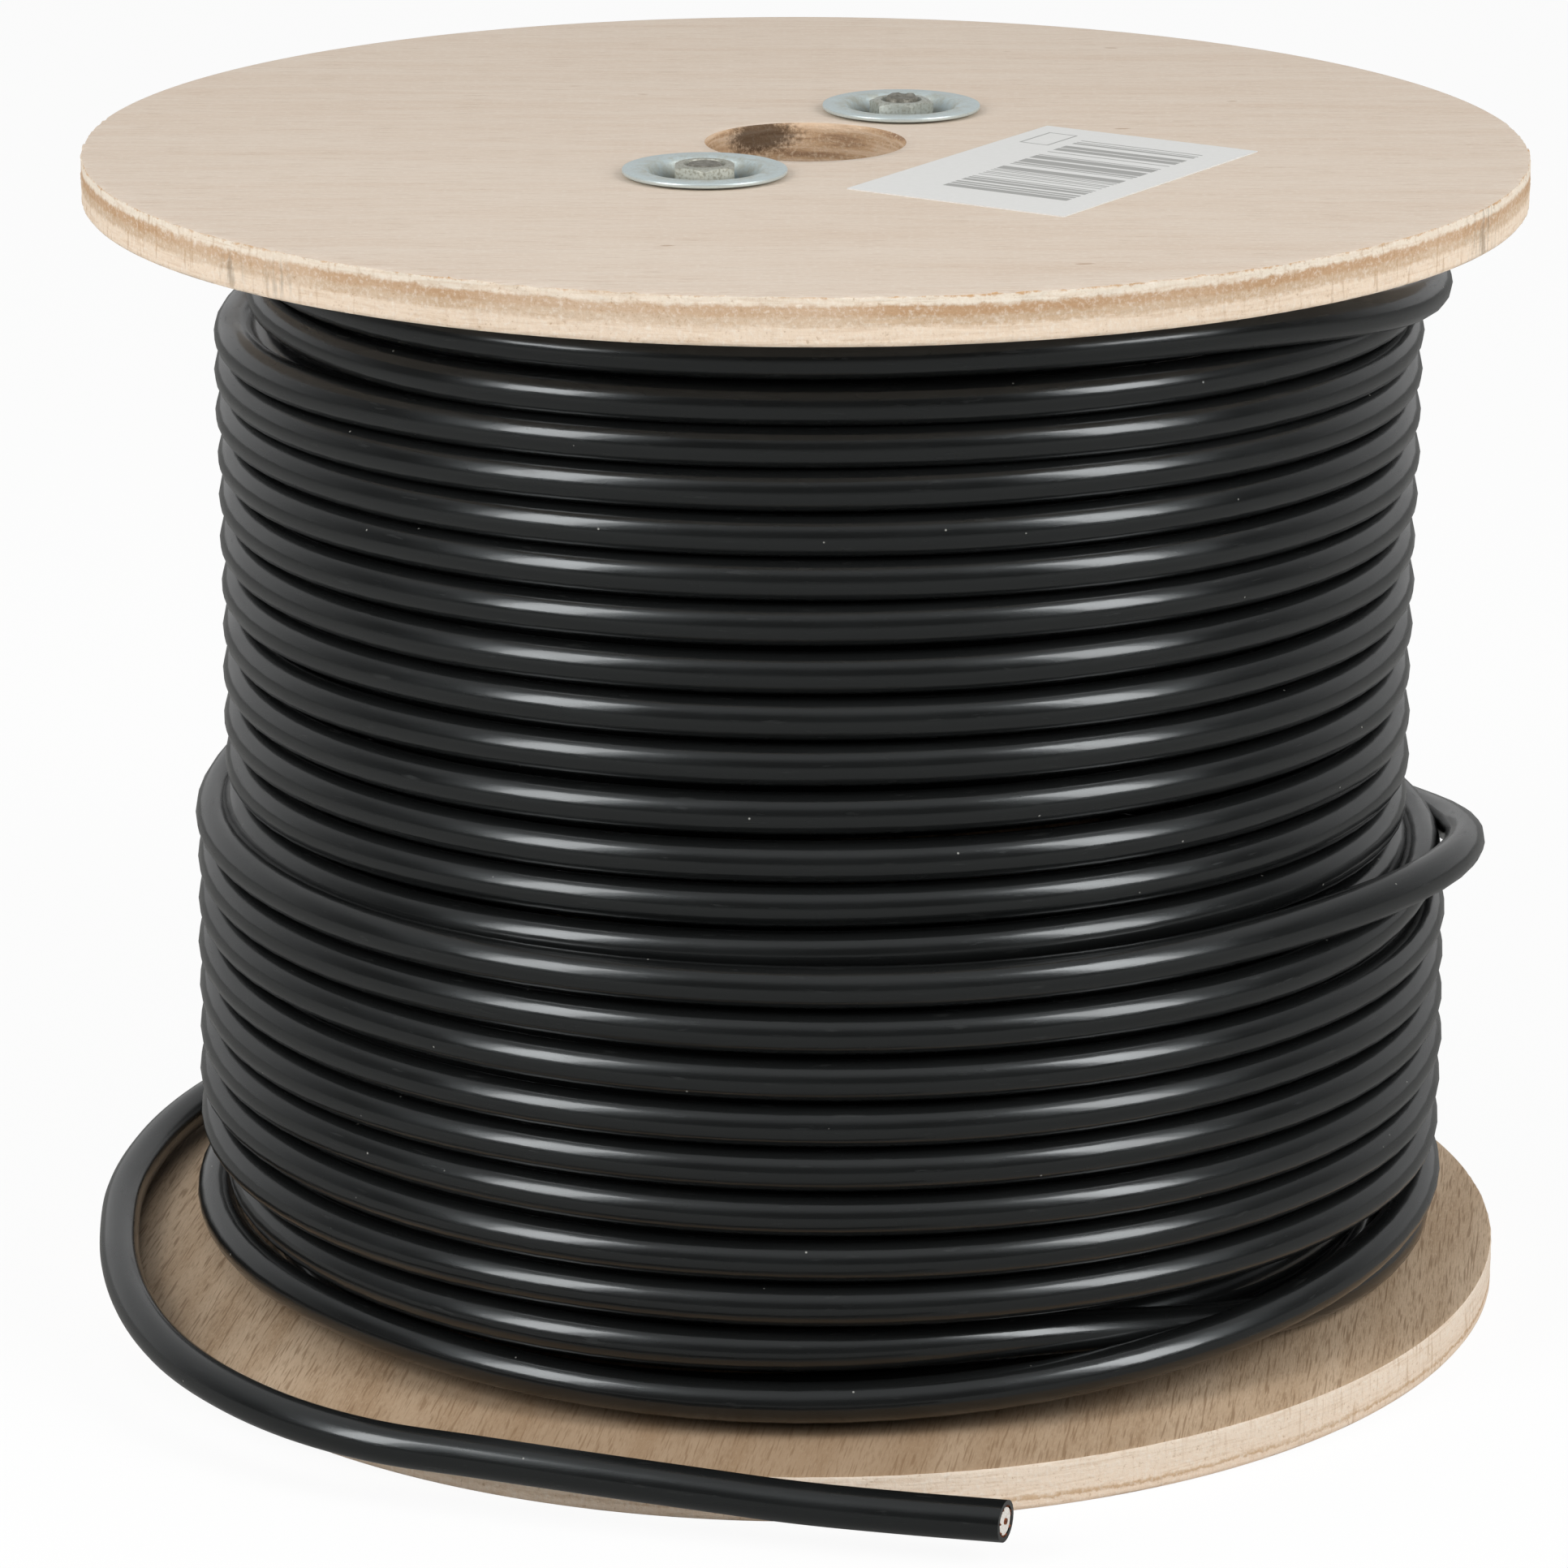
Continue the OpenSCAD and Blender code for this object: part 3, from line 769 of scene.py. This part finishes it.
def tube(name, route, radius, sides, inner_radius=0.0, inner_from=None, slant=0.0):
    """A closed tube along a route.

    With an inner radius its far end is hollow, back to a point of the route. The cut there may slant.
    """
    frames, lengths, far = [], [], 0.0
    for at, point in enumerate(route):
        ahead = route[min(at + 1, len(route) - 1)] - route[max(at - 1, 0)]
        ahead.normalize()
        outwards = Vector((point.x, point.y, 0))
        outwards = (outwards - ahead * outwards.dot(ahead)).normalized()
        frames.append((point, ahead, outwards, ahead.cross(outwards)))
        far += (point - route[at - 1]).length if at else 0.0
        lengths.append(far)
    walk = [(at, radius) for at in range(len(route))]
    if inner_radius:
        walk += [(at, inner_radius) for at in range(len(route) - 1, inner_from - 1, -1)]
    verts, along = [], []
    for at, size in walk:
        point, ahead, outwards, up = frames[at]
        near_end = ease(1 - (lengths[-1] - lengths[at]) / (radius * 3)) if slant else 0.0
        for side in range(sides):
            # The seam of the UV map faces the reel's axis.
            turn = math.pi + 2 * math.pi * side / sides
            offset = outwards * math.cos(turn) * size + up * math.sin(turn) * size
            verts.append(point + offset + ahead * (offset.dot(outwards) * -slant * near_end))
        along.append(lengths[at])
    faces, uvs = [], []
    girth = 2 * math.pi * radius
    for ring in range(len(walk) - 1):
        here, beyond = ring * sides, (ring + 1) * sides
        for side in range(sides):
            other = (side + 1) % sides
            faces.append((here + side, here + other, beyond + other, beyond + side))
            a, b = girth * side / sides, girth * (side + 1) / sides
            uvs += [(along[ring], a), (along[ring], b), (along[ring + 1], b), (along[ring + 1], a)]
    for ring, flip in ((0, True), (len(walk) - 1, False)):
        cap = [ring * sides + side for side in range(sides)]
        faces.append(tuple(reversed(cap)) if flip else tuple(cap))
        uvs += [(along[ring], girth * side / sides) for side in range(sides)]
    mesh = bpy.data.meshes.new(name)
    mesh.from_pydata(verts, [], faces)
    layer = mesh.uv_layers.new(name="UVMap")
    layer.data.foreach_set("uv", [value for pair in uvs for value in pair])
    piece = bpy.data.objects.new(name, mesh)
    bpy.context.scene.collection.objects.link(piece)
    face_outwards(piece)
    smooth(piece, 40)
    return piece


class REEL_OT_winding(bpy.types.Operator):
    """Lay the wound cable turn by turn"""

    bl_idname = "reel.winding"
    bl_label = "Wound Cable"

    def execute(self, context):
        settings = context.scene.reel_cable
        route = winding_route(settings)
        piece = tube("cable_turns", route, settings.diameter / 2, settings.sides)
        coat(piece, bpy.data.materials.get("extruded_black_pvc") or jacket_finish(settings))
        ready(piece, "cable_jacket", "cable_winding")
        return {"FINISHED"}


class REEL_OT_tail(bpy.types.Operator):
    """Lay the free end of the cable and the layers at its cut"""

    bl_idname = "reel.tail"
    bl_label = "Free End"

    def execute(self, context):
        settings = context.scene.reel_cable
        span_parts, cut_steps, slant = 6, 3, 0.22
        route = curve_through([Vector(point) * MM for point in TAIL_ROUTE], span_parts)
        hollow_from = len(route) - 1 - cut_steps
        tail = tube("cable_free_end", route, settings.diameter / 2, 24, 2.65 * MM, hollow_from, slant)
        coat(tail, bpy.data.materials.get("extruded_black_pvc") or jacket_finish(settings))
        ready(tail, "cable_jacket", "cable_tail", "end_jacket")
        tip = route[-(span_parts + 1):]
        ahead = (route[-1] - route[-2]).normalized()
        sideways = Vector((-ahead.y, ahead.x, 0))
        copper = copper_finish(settings)
        braid = tube("cut_braid", [p - ahead * 0.25 * MM for p in tip], 2.62 * MM, 48, 2.3 * MM, 2, slant)
        for vert in braid.data.vertices:
            # Strands stand at uneven lengths round the cut.
            gap = vert.co - tip[-1]
            if gap.dot(ahead) > -1.2 * MM:
                turn = math.atan2(gap.z, gap.dot(sideways))
                vert.co += ahead * (0.28 * math.sin(7 * turn) + 0.22 * math.sin(17 * turn + 1.0)) * MM
        coat(braid, copper)
        ready(braid, "copper", "end_braid")
        foam = tube("cut_foam", [p - ahead * 0.1 * MM for p in tip], 2.3 * MM, 32, 0.55 * MM, 3, slant)
        coat(foam, foam_finish(settings))
        ready(foam, "dielectric_foam", "end_dielectric")
        wire = tube("cut_conductor", [p + ahead * 0.15 * MM for p in tip], 0.52 * MM, 16, slant=slant)
        coat(wire, copper)
        ready(wire, "copper", "end_conductor")
        return {"FINISHED"}


def rim_group(piece, name, low, high, inside, back):
    """A vertex group of the outer edge between two heights, as far as a place behind the axis."""
    group = piece.vertex_groups.new(name=name)
    chosen = [v.index for v in piece.data.vertices
              if low <= v.co.z <= high and v.co.y < back and math.hypot(v.co.x, v.co.y) > inside]
    group.add(chosen, 1.0, "REPLACE")
    return name


def roughen(piece, group, size, strength, contrast, level):
    """Displaces a vertex group by a cloud texture with features of a size."""
    grain = bpy.data.textures.new(group, "CLOUDS")
    grain.noise_scale = size
    grain.contrast = contrast
    apply_modifier(
        piece, "DISPLACE", texture=grain, texture_coords="LOCAL", vertex_group=group, strength=strength,
        mid_level=level)


def seat(name, steps, centre):
    """A closed round piece from a profile that starts and ends near the axis."""
    tiny = 0.02 * MM
    piece = turned(name, [(tiny, steps[0][1]), *steps, (tiny, steps[-1][1])], 64, centre)
    face_outwards(piece, fill=True)
    return piece


def board(name, settings, low, high, seats, chips, finishes):
    """One flange: edge, face, bore and underside in one profile, with a rough edge and seats for bolts."""
    radius, bore = settings.radius, settings.bore
    thick, half_way = high - low, radius * 0.55
    lip, bevel = 0.35 * MM, 0.5 * MM
    rim_rows, bore_rows = 18, 8
    profile = [(radius - lip, low)]
    profile += [(radius, low + thick * row / rim_rows) for row in range(1, rim_rows)]
    profile += [
        (radius - 0.12 * MM, high - 0.06 * MM), (radius - lip, high), (radius - 1.2 * MM, high),
        (radius - 4 * MM, high), (half_way, high), (bore + 2.5 * MM, high), (bore + bevel, high)]
    profile += [(bore, high - bevel - (thick - 2 * bevel) * row / bore_rows) for row in range(bore_rows + 1)]
    profile += [(bore + bevel, low), (half_way, low), (radius - lip, low)]
    piece = turned(name, profile, settings.segments)
    inside, all_round = radius - 0.6 * MM, 1.0
    # Saw marks, the crumbly ply, ridges below it, and chips at the front of the upper corner.
    for part, bottom, top, start, back, size, strength, contrast, level in (
            ("_saw", low + 0.3 * MM, high - 0.3 * MM, inside, all_round, 9 * MM, 0.08 * MM, 1.0, 0.5),
            ("_crumbs", low + 0.42 * thick, low + 0.60 * thick, inside, all_round,
             1.0 * MM, chips * 0.9, 2.0, 0.6),
            ("_ridges", low + 0.05 * thick, low + 0.40 * thick, inside, all_round,
             2.2 * MM, chips * 0.5, 1.5, 0.5),
            ("_chips", high - 0.9 * MM, high, radius - 0.5 * MM, 20 * MM, 2.4 * MM, chips * 0.8, 3.0, 0.8)):
        group = rim_group(piece, name + part, bottom, top, start, back)
        roughen(piece, group, size, strength, contrast, level)
    hole = [(3.5 * MM, low - 1 * MM), (3.5 * MM, high + 1 * MM)]
    for place in BOLTS.values():
        carve(piece, seat("hole", hole, (place.x, place.y)))
        carve(piece, seat("cup_seat", seats, (place.x, place.y)))
    coat(piece, *finishes)
    for face in piece.data.polygons:
        out = math.hypot(face.center.x, face.center.y)
        if out < bore + 0.45 * MM:
            face.material_index = 2
        elif out > radius - 1.0 * MM and abs(face.normal.z) < 0.9:
            face.material_index = 1
    smooth(piece, 50)
    return piece


class REEL_OT_boards(bpy.types.Operator):
    """Make the two plywood flanges"""

    bl_idname = "reel.boards"
    bl_label = "Flanges"

    def execute(self, context):
        settings = context.scene.reel_board
        cream, tan, end_grain = settings.cream[:], settings.tan[:], settings.end_grain[:]
        bore = bore_finish(settings)
        # The plies of the upper edge are clear all along it, those of the lower edge only at the right.
        upper_edge = edge_finish(
            "sawn_plywood_edge_upper", UPPER_LOW, UPPER_TOP - UPPER_LOW,
            bands=[(0.0, "#EAD6C0"), (0.34, "#EAD6C0"), (0.43, end_grain), (0.54, end_grain), (0.63, tan),
                   (0.76, tan), (0.84, cream), (0.96, cream), (1.0, "#CBA47B")],
            clear=(-400 * MM, -300 * MM),
            smudges=[((-92 * MM, -84.5 * MM, UPPER_LOW + 3.2 * MM), 4.2 * MM),
                     ((-84 * MM, -92.5 * MM, UPPER_LOW + 3.6 * MM), 4.2 * MM),
                     ((112 * MM, -55 * MM, UPPER_LOW + 4 * MM), 9 * MM)])
        lower_edge = edge_finish(
            "sawn_plywood_edge_lower", 0.0, LOWER_TOP,
            bands=[(0.0, "#EAD3BD"), (0.17, "#EBD5BF"), (0.21, "#C2A07C"), (0.25, "#D0B292"),
                   (0.30, "#EDD9C4"), (0.9, "#F0DFCC")],
            clear=(-60 * MM, 70 * MM), smudges=[])
        # A washer's seat is a cone. Below the reel a wider step takes the washer's rim as well.
        mouth, floor, rim = 11.4 * MM, 8.6 * MM, 14.4 * MM
        cone, step = 4.4 * MM, 1.5 * MM
        upper_seats = [(mouth, UPPER_TOP + 1 * MM), (mouth, UPPER_TOP), (floor, UPPER_TOP - cone)]
        lower_seats = [(rim, -1 * MM), (rim, step), (mouth, step), (floor, step + cone)]
        upper = board(
            "upper_flange_board", settings, UPPER_LOW, UPPER_TOP, upper_seats, 0.35 * MM,
            [face_finish(settings), upper_edge, bore])
        ready(upper, "upper_plywood", "top_flange")
        lower = board(
            "lower_flange_board", settings, 0.0, LOWER_TOP, lower_seats, 0.12 * MM,
            [brown_face_finish(settings), lower_edge, bore])
        ready(lower, "lower_plywood", "bottom_flange")
        return {"FINISHED"}


class REEL_OT_core(bpy.types.Operator):
    """Finish the cardboard core tube, whose solid is right as it is"""

    bl_idname = "reel.core"
    bl_label = "Core Tube"

    def execute(self, context):
        coat(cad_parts["core_tube"], tube_finish())
        return {"FINISHED"}


def cup_washer(name, settings, rim_top, centre):
    """A pressed cup washer: a rim that thins out to its edge, a rolled lip, a sloping wall and a floor."""
    out, mouth, floor = settings.washer_radius, settings.mouth_radius, settings.floor_radius
    hole = settings.bolt_radius + 0.4 * MM
    low = rim_top - settings.sheet
    bottom = rim_top - settings.cup_depth
    under = bottom - settings.sheet
    rim = [
        (out - 2.2 * MM, low), (out - 0.15 * MM, low + 0.45 * MM), (out, low + 0.6 * MM),
        (out, rim_top - 0.2 * MM), (out - 0.05 * MM, rim_top - 0.06 * MM), (out - 0.2 * MM, rim_top),
        (out - 2.0 * MM, rim_top - 0.05 * MM), (mouth + 0.9 * MM, rim_top)]
    cup = [
        (mouth + 0.45 * MM, rim_top - 0.05 * MM), (mouth + 0.1 * MM, rim_top - 0.25 * MM),
        (mouth - 0.15 * MM, rim_top - 0.6 * MM), (floor + 0.75 * MM, bottom + 0.75 * MM),
        (floor + 0.4 * MM, bottom + 0.25 * MM), (floor - 0.1 * MM, bottom), (hole, bottom)]
    underside = [
        (hole, under), (floor + 0.5 * MM, under), (floor + 1.1 * MM, under + 0.3 * MM),
        (floor + 1.5 * MM, under + 0.9 * MM), (mouth + 0.6 * MM, low - 0.4 * MM), (mouth + 1.1 * MM, low)]
    piece = turned(name, rim + cup + underside + rim[:1], 128, centre)
    smooth(piece, 50)
    return piece


def hex_solid(name, settings, low, high, centre, turn, chamfers):
    """A hexagon with its corners turned off at one or both ends."""
    corner = settings.nut_flats / math.sqrt(3)
    select_only()
    bpy.ops.mesh.primitive_cylinder_add(
        vertices=6, radius=corner, depth=high - low, location=(*centre, (low + high) / 2),
        rotation=(0, 0, turn - math.radians(30)))
    piece = bpy.context.object
    piece.name = piece.data.name = name
    settle(piece)
    flat, drop, wide = settings.nut_flats * 0.475, 0.65 * MM, corner + 0.2 * MM
    below, above = chamfers
    steps = [(flat, low), (wide, low + drop)] if below else [(wide, low - 0.1 * MM)]
    steps += [(wide, high - drop), (flat, high)] if above else [(wide, high + 0.1 * MM)]
    carve(piece, seat("turned_corners", steps, centre), "INTERSECT")
    return piece


def soften(piece):
    """Rounds the edges of a steel piece a little."""
    apply_modifier(
        piece, "BEVEL", width=0.14 * MM, segments=2, limit_method="ANGLE", angle_limit=math.radians(24))


def hex_nut(name, settings, low, high, centre, turn):
    """A hex nut with a hole for its bolt that is wider at both ends."""
    rod = settings.bolt_radius
    piece = hex_solid(name, settings, low, high, centre, turn, (True, True))
    hole = [
        (rod + 0.45 * MM, low - 1 * MM), (rod + 0.05 * MM, low + 0.5 * MM),
        (rod + 0.05 * MM, high - 1.6 * MM), (rod + 0.7 * MM, high + 0.1 * MM)]
    carve(piece, seat("thread_hole", hole, centre))
    soften(piece)
    return piece


def tie_bolt(name, settings, head_top, thread_from, top, centre, turn, snapped):
    """A tie bolt: a hex head and a rod with a thread of 1 mm pitch on its upper end, which may be uneven."""
    rod, pitch = settings.bolt_radius, 1.0 * MM
    steps = [(rod - 0.02 * MM, head_top - 0.2 * MM), (rod - 0.02 * MM, thread_from)]
    for ridge in range(int((top - thread_from) / pitch) - 1):
        foot = thread_from + pitch * (ridge + 0.1)
        steps.append((rod - 0.5 * MM, foot + 0.35 * pitch))
        steps += [(rod, foot + 0.75 * pitch), (rod, foot + 0.85 * pitch)]
    steps += [
        (rod - 0.05 * MM, top - 0.35 * MM), (rod - 0.4 * MM, top), (rod * 0.6, top + 0.03 * MM),
        (rod * 0.3, top - 0.04 * MM)]
    piece = seat(name, steps, centre)
    if snapped:
        group = piece.vertex_groups.new(name="snapped_end")
        group.add([v.index for v in piece.data.vertices if v.co.z > top - 0.4 * MM], 1.0, "REPLACE")
        roughen(piece, "snapped_end", 2.4 * MM, 0.7 * MM, 2.0, 0.7)
    head = hex_solid("head", settings, head_top - 4 * MM, head_top, centre, turn, (True, False))
    soften(head)
    select_only(piece)
    head.select_set(True)
    bpy.ops.object.join()
    return piece


class REEL_OT_hardware(bpy.types.Operator):
    """Make the cup washers, nuts and tie bolts"""

    bl_idname = "reel.hardware"
    bl_label = "Washers, Nuts and Bolts"

    def execute(self, context):
        settings = context.scene.reel_hardware
        steel = bolt_finish(settings)
        rim_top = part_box("top_washer_front")[1].z
        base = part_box("bottom_washer_front")[0].z
        low = rim_top - settings.cup_depth
        high = low + settings.nut_height
        head_top = base + settings.cup_depth
        # The nut's turn in degrees, how far the bolt stands out of it, whether the bolt was snapped off, then
        # the nut's plate, stain and roughness.
        looks = {
            "front": (30, 0.05 * MM, False, "#B7B6AA", "#8C866E", 0.50),
            "back": (-13, 0.7 * MM, True, "#C0C4BD", "#9C9478", 0.42)}
        for place, spot in BOLTS.items():
            centre = (spot.x, spot.y)
            degrees, proud, snapped, plate, stain, roughness = looks[place]
            turn = math.radians(degrees)
            # The washers' cups carry painted shade on their walls.
            zinc = zinc_finish(
                "zinc_washer_" + place, settings.zinc, settings.stain, centre, stain_from=8.2 * MM,
                stain_to=11.6 * MM, roughness=0.40, speckles=0.06, painted_cup_shade=0.8)
            upper = cup_washer("upper_cup_washer_" + place, settings, rim_top, centre)
            coat(upper, zinc)
            ready(upper, "zinc_washer", "top_washer_" + place)
            lower = turned_over(upper, "lower_cup_washer_" + place, centre, rim_top, base)
            ready(lower, "zinc_washer", "bottom_washer_" + place)
            nut = hex_nut("hex_nut_" + place, settings, low, high, centre, turn)
            coat(nut, zinc_finish(
                "zinc_nut_" + place, plate, stain, centre, stain_from=0.0, stain_to=8.0 * MM,
                roughness=roughness, speckles=0.42))
            smooth(nut, 30)
            ready(nut, "zinc_bolt", "nut_" + place)
            bolt = tie_bolt(
                "tie_bolt_rod_" + place, settings, head_top, low - 6 * MM, high + proud, centre, turn,
                snapped)
            coat(bolt, steel)
            smooth(bolt, 35)
            ready(bolt, "zinc_bolt", "tie_bolt_" + place)
        return {"FINISHED"}


class REEL_OT_label(bpy.types.Operator):
    """Make the paper label"""

    bl_idname = "reel.label"
    bl_label = "Label"

    def execute(self, context):
        settings = context.scene.reel_label
        low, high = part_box("label")
        centre = (low + high) / 2
        select_only()
        bpy.ops.mesh.primitive_grid_add(
            x_subdivisions=22, y_subdivisions=14, size=1, location=(centre.x, centre.y, low.z),
            rotation=(0, 0, settings.turn))
        piece = bpy.context.object
        piece.name = piece.data.name = "label_sheet"
        piece.scale = (settings.length, settings.width, 1)
        settle(piece)
        apply_modifier(piece, "SOLIDIFY", thickness=settings.thickness, offset=1.0)
        coat(piece, label_finish(settings, centre))
        smooth(piece, 30)
        ready(piece, "label_paper", "label")
        return {"FINISHED"}


class REEL_OT_stage(bpy.types.Operator):
    """Set the floor, the soft boxes, the surrounding light and the camera"""

    bl_idname = "reel.stage"
    bl_label = "Stage"

    def execute(self, context):
        settings = context.scene.reel_stage
        scene = context.scene
        scene.view_settings.view_transform = "Standard"
        select_only()
        bpy.ops.mesh.primitive_grid_add(x_subdivisions=2, y_subdivisions=2, size=8, location=(0, 0, 0))
        floor = context.object
        floor.name = "floor"
        finish, tree, skin = new_material("white_floor")
        rays = shade(tree, "LightPath").node.outputs
        glossy = rays["Is Glossy Ray"]
        looked_at = shade(
            tree, "Math", {0: rays["Is Camera Ray"], 1: rays["Is Transmission Ray"]}, operation="MAXIMUM")
        feed(tree, skin, {
            "Base Color": layered(tree, settings.floor, (glossy, settings.mirrored), (looked_at, "#F8F8F7")),
            "Roughness": 0.9, "Specular IOR Level": 0.0})
        mirrored = shade(tree, "Math", {0: glossy, 1: 0.05}, operation="MULTIPLY")
        share = shade(tree, "Math", {0: looked_at, 1: 0.92, 2: mirrored}, operation="MULTIPLY_ADD")
        glow = shade(tree, "Emission", {"Color": (1, 1, 1, 1), "Strength": 1.0})
        mixed = shade(tree, "MixShader", {0: share, 1: skin.outputs[0], 2: glow})
        feed(tree, tree.nodes["Material Output"], {"Surface": mixed})
        coat(floor, finish)

        # Two tall soft boxes stand left and right of the camera. Each is brightest in its middle.
        lift, wide, tall = math.radians(28), 0.36, 0.85
        for name, degrees in (("soft_box_left", -51.6), ("soft_box_right", 57.0)):
            turn = math.radians(degrees)
            away = Vector((math.sin(turn) * math.cos(lift), -math.cos(turn) * math.cos(lift), math.sin(lift)))
            for part, share, width, reach in (
                    ("middle", 0.66, wide, 1.30), ("whole", 0.34, wide * 1.6, 1.33)):
                bpy.ops.object.light_add(type="AREA", location=away * reach + Vector((0, 0, 0.1)))
                lamp = context.object
                lamp.name = name + "_" + part
                lamp.data.shape = "RECTANGLE"
                lamp.data.size, lamp.data.size_y = width, tall
                lamp.data.energy = settings.soft_box * share
                lamp.rotation_euler = (-away).to_track_quat("-Z", "Y").to_euler()

        # A pale wall stands at the back and a pale ceiling hangs above; the camera's side is dark.
        world = bpy.data.worlds.new("studio")
        scene.world = world
        world.use_nodes = True
        tree = world.node_tree
        ray = shade(tree, "TexCoord", out="Generated")
        parts = shade(tree, "SeparateXYZ", {0: ray}).node.outputs
        wall, ceiling = (
            shade(tree, "MapRange", {
                "Value": parts[axis], "From Min": start, "From Max": full, "To Min": least, "To Max": most,
            }, interpolation_type="SMOOTHSTEP")
            for axis, start, full, least, most in (("Y", -0.1, 0.7, 0.05, 0.52), ("Z", 0.3, 0.85, 0.0, 0.6)))
        level = shade(tree, "Math", {0: wall, 1: ceiling}, operation="MAXIMUM")
        seen = shade(tree, "LightPath", out="Is Camera Ray")
        power = shade(tree, "Mix", {0: seen, 2: level, 3: 1.0}, data_type="FLOAT")
        feed(tree, tree.nodes["Background"], {"Strength": power, "Color": (1, 1, 1, 1)})

        # The camera stands where the photograph was taken.
        camera_place = (0.0, -1.0889, 0.4172)
        yaw, pitch, roll = (math.radians(angle) for angle in (-0.181, 16.788, 0.144))
        ahead = Vector((math.sin(yaw) * math.cos(pitch), math.cos(yaw) * math.cos(pitch), -math.sin(pitch)))
        right = Vector((math.cos(yaw), -math.sin(yaw), 0))
        up = right.cross(ahead)
        right, up = math.cos(roll) * right + math.sin(roll) * up, math.cos(roll) * up - math.sin(roll) * right
        camera = bpy.data.objects.new("camera", bpy.data.cameras.new("camera"))
        scene.collection.objects.link(camera)
        spin = Matrix((right, up, -ahead)).transposed().to_4x4()
        camera.matrix_world = Matrix.Translation(camera_place) @ spin
        camera.data.sensor_width = 36.0
        camera.data.lens = settings.lens
        scene.camera = camera
        return {"FINISHED"}


class REEL_PT_pieces(bpy.types.Panel):
    """The reel's pieces, in the order in which they are made"""

    bl_idname = "REEL_PT_pieces"
    bl_label = "Cable Reel"
    bl_space_type = "VIEW_3D"
    bl_region_type = "UI"
    bl_category = "Cable Reel"

    def draw(self, context):
        for piece in OPERATORS:
            self.layout.operator(piece.bl_idname)
        for name in SETTINGS:
            group = getattr(context.scene, name)
            box = self.layout.box()
            for key in group.__annotations__:
                box.prop(group, key)


OPERATORS = (
    REEL_OT_stage, REEL_OT_tail, REEL_OT_winding, REEL_OT_boards, REEL_OT_core, REEL_OT_hardware,
    REEL_OT_label)
SETTINGS = {
    "reel_cable": ReelCableSettings,
    "reel_board": ReelBoardSettings,
    "reel_hardware": ReelHardwareSettings,
    "reel_label": ReelLabelSettings,
    "reel_stage": ReelStageSettings,
}


def register():
    """Registers the settings, the operators and the panel."""
    for group in SETTINGS.values():
        bpy.utils.register_class(group)
    for name, group in SETTINGS.items():
        setattr(bpy.types.Scene, name, PointerProperty(type=group))
    for piece in (*OPERATORS, REEL_PT_pieces):
        bpy.utils.register_class(piece)


def unregister():
    """Takes away all that register added."""
    for piece in (REEL_PT_pieces, *reversed(OPERATORS)):
        bpy.utils.unregister_class(piece)
    for name in SETTINGS:
        delattr(bpy.types.Scene, name)
    for group in reversed(list(SETTINGS.values())):
        bpy.utils.unregister_class(group)


def main():
    """Makes every piece."""
    register()
    bpy.ops.reel.stage()
    bpy.ops.reel.tail()
    bpy.ops.reel.winding()
    bpy.ops.reel.boards()
    bpy.ops.reel.core()
    bpy.ops.reel.hardware()
    bpy.ops.reel.label()


if __name__ == "__main__":
    main()
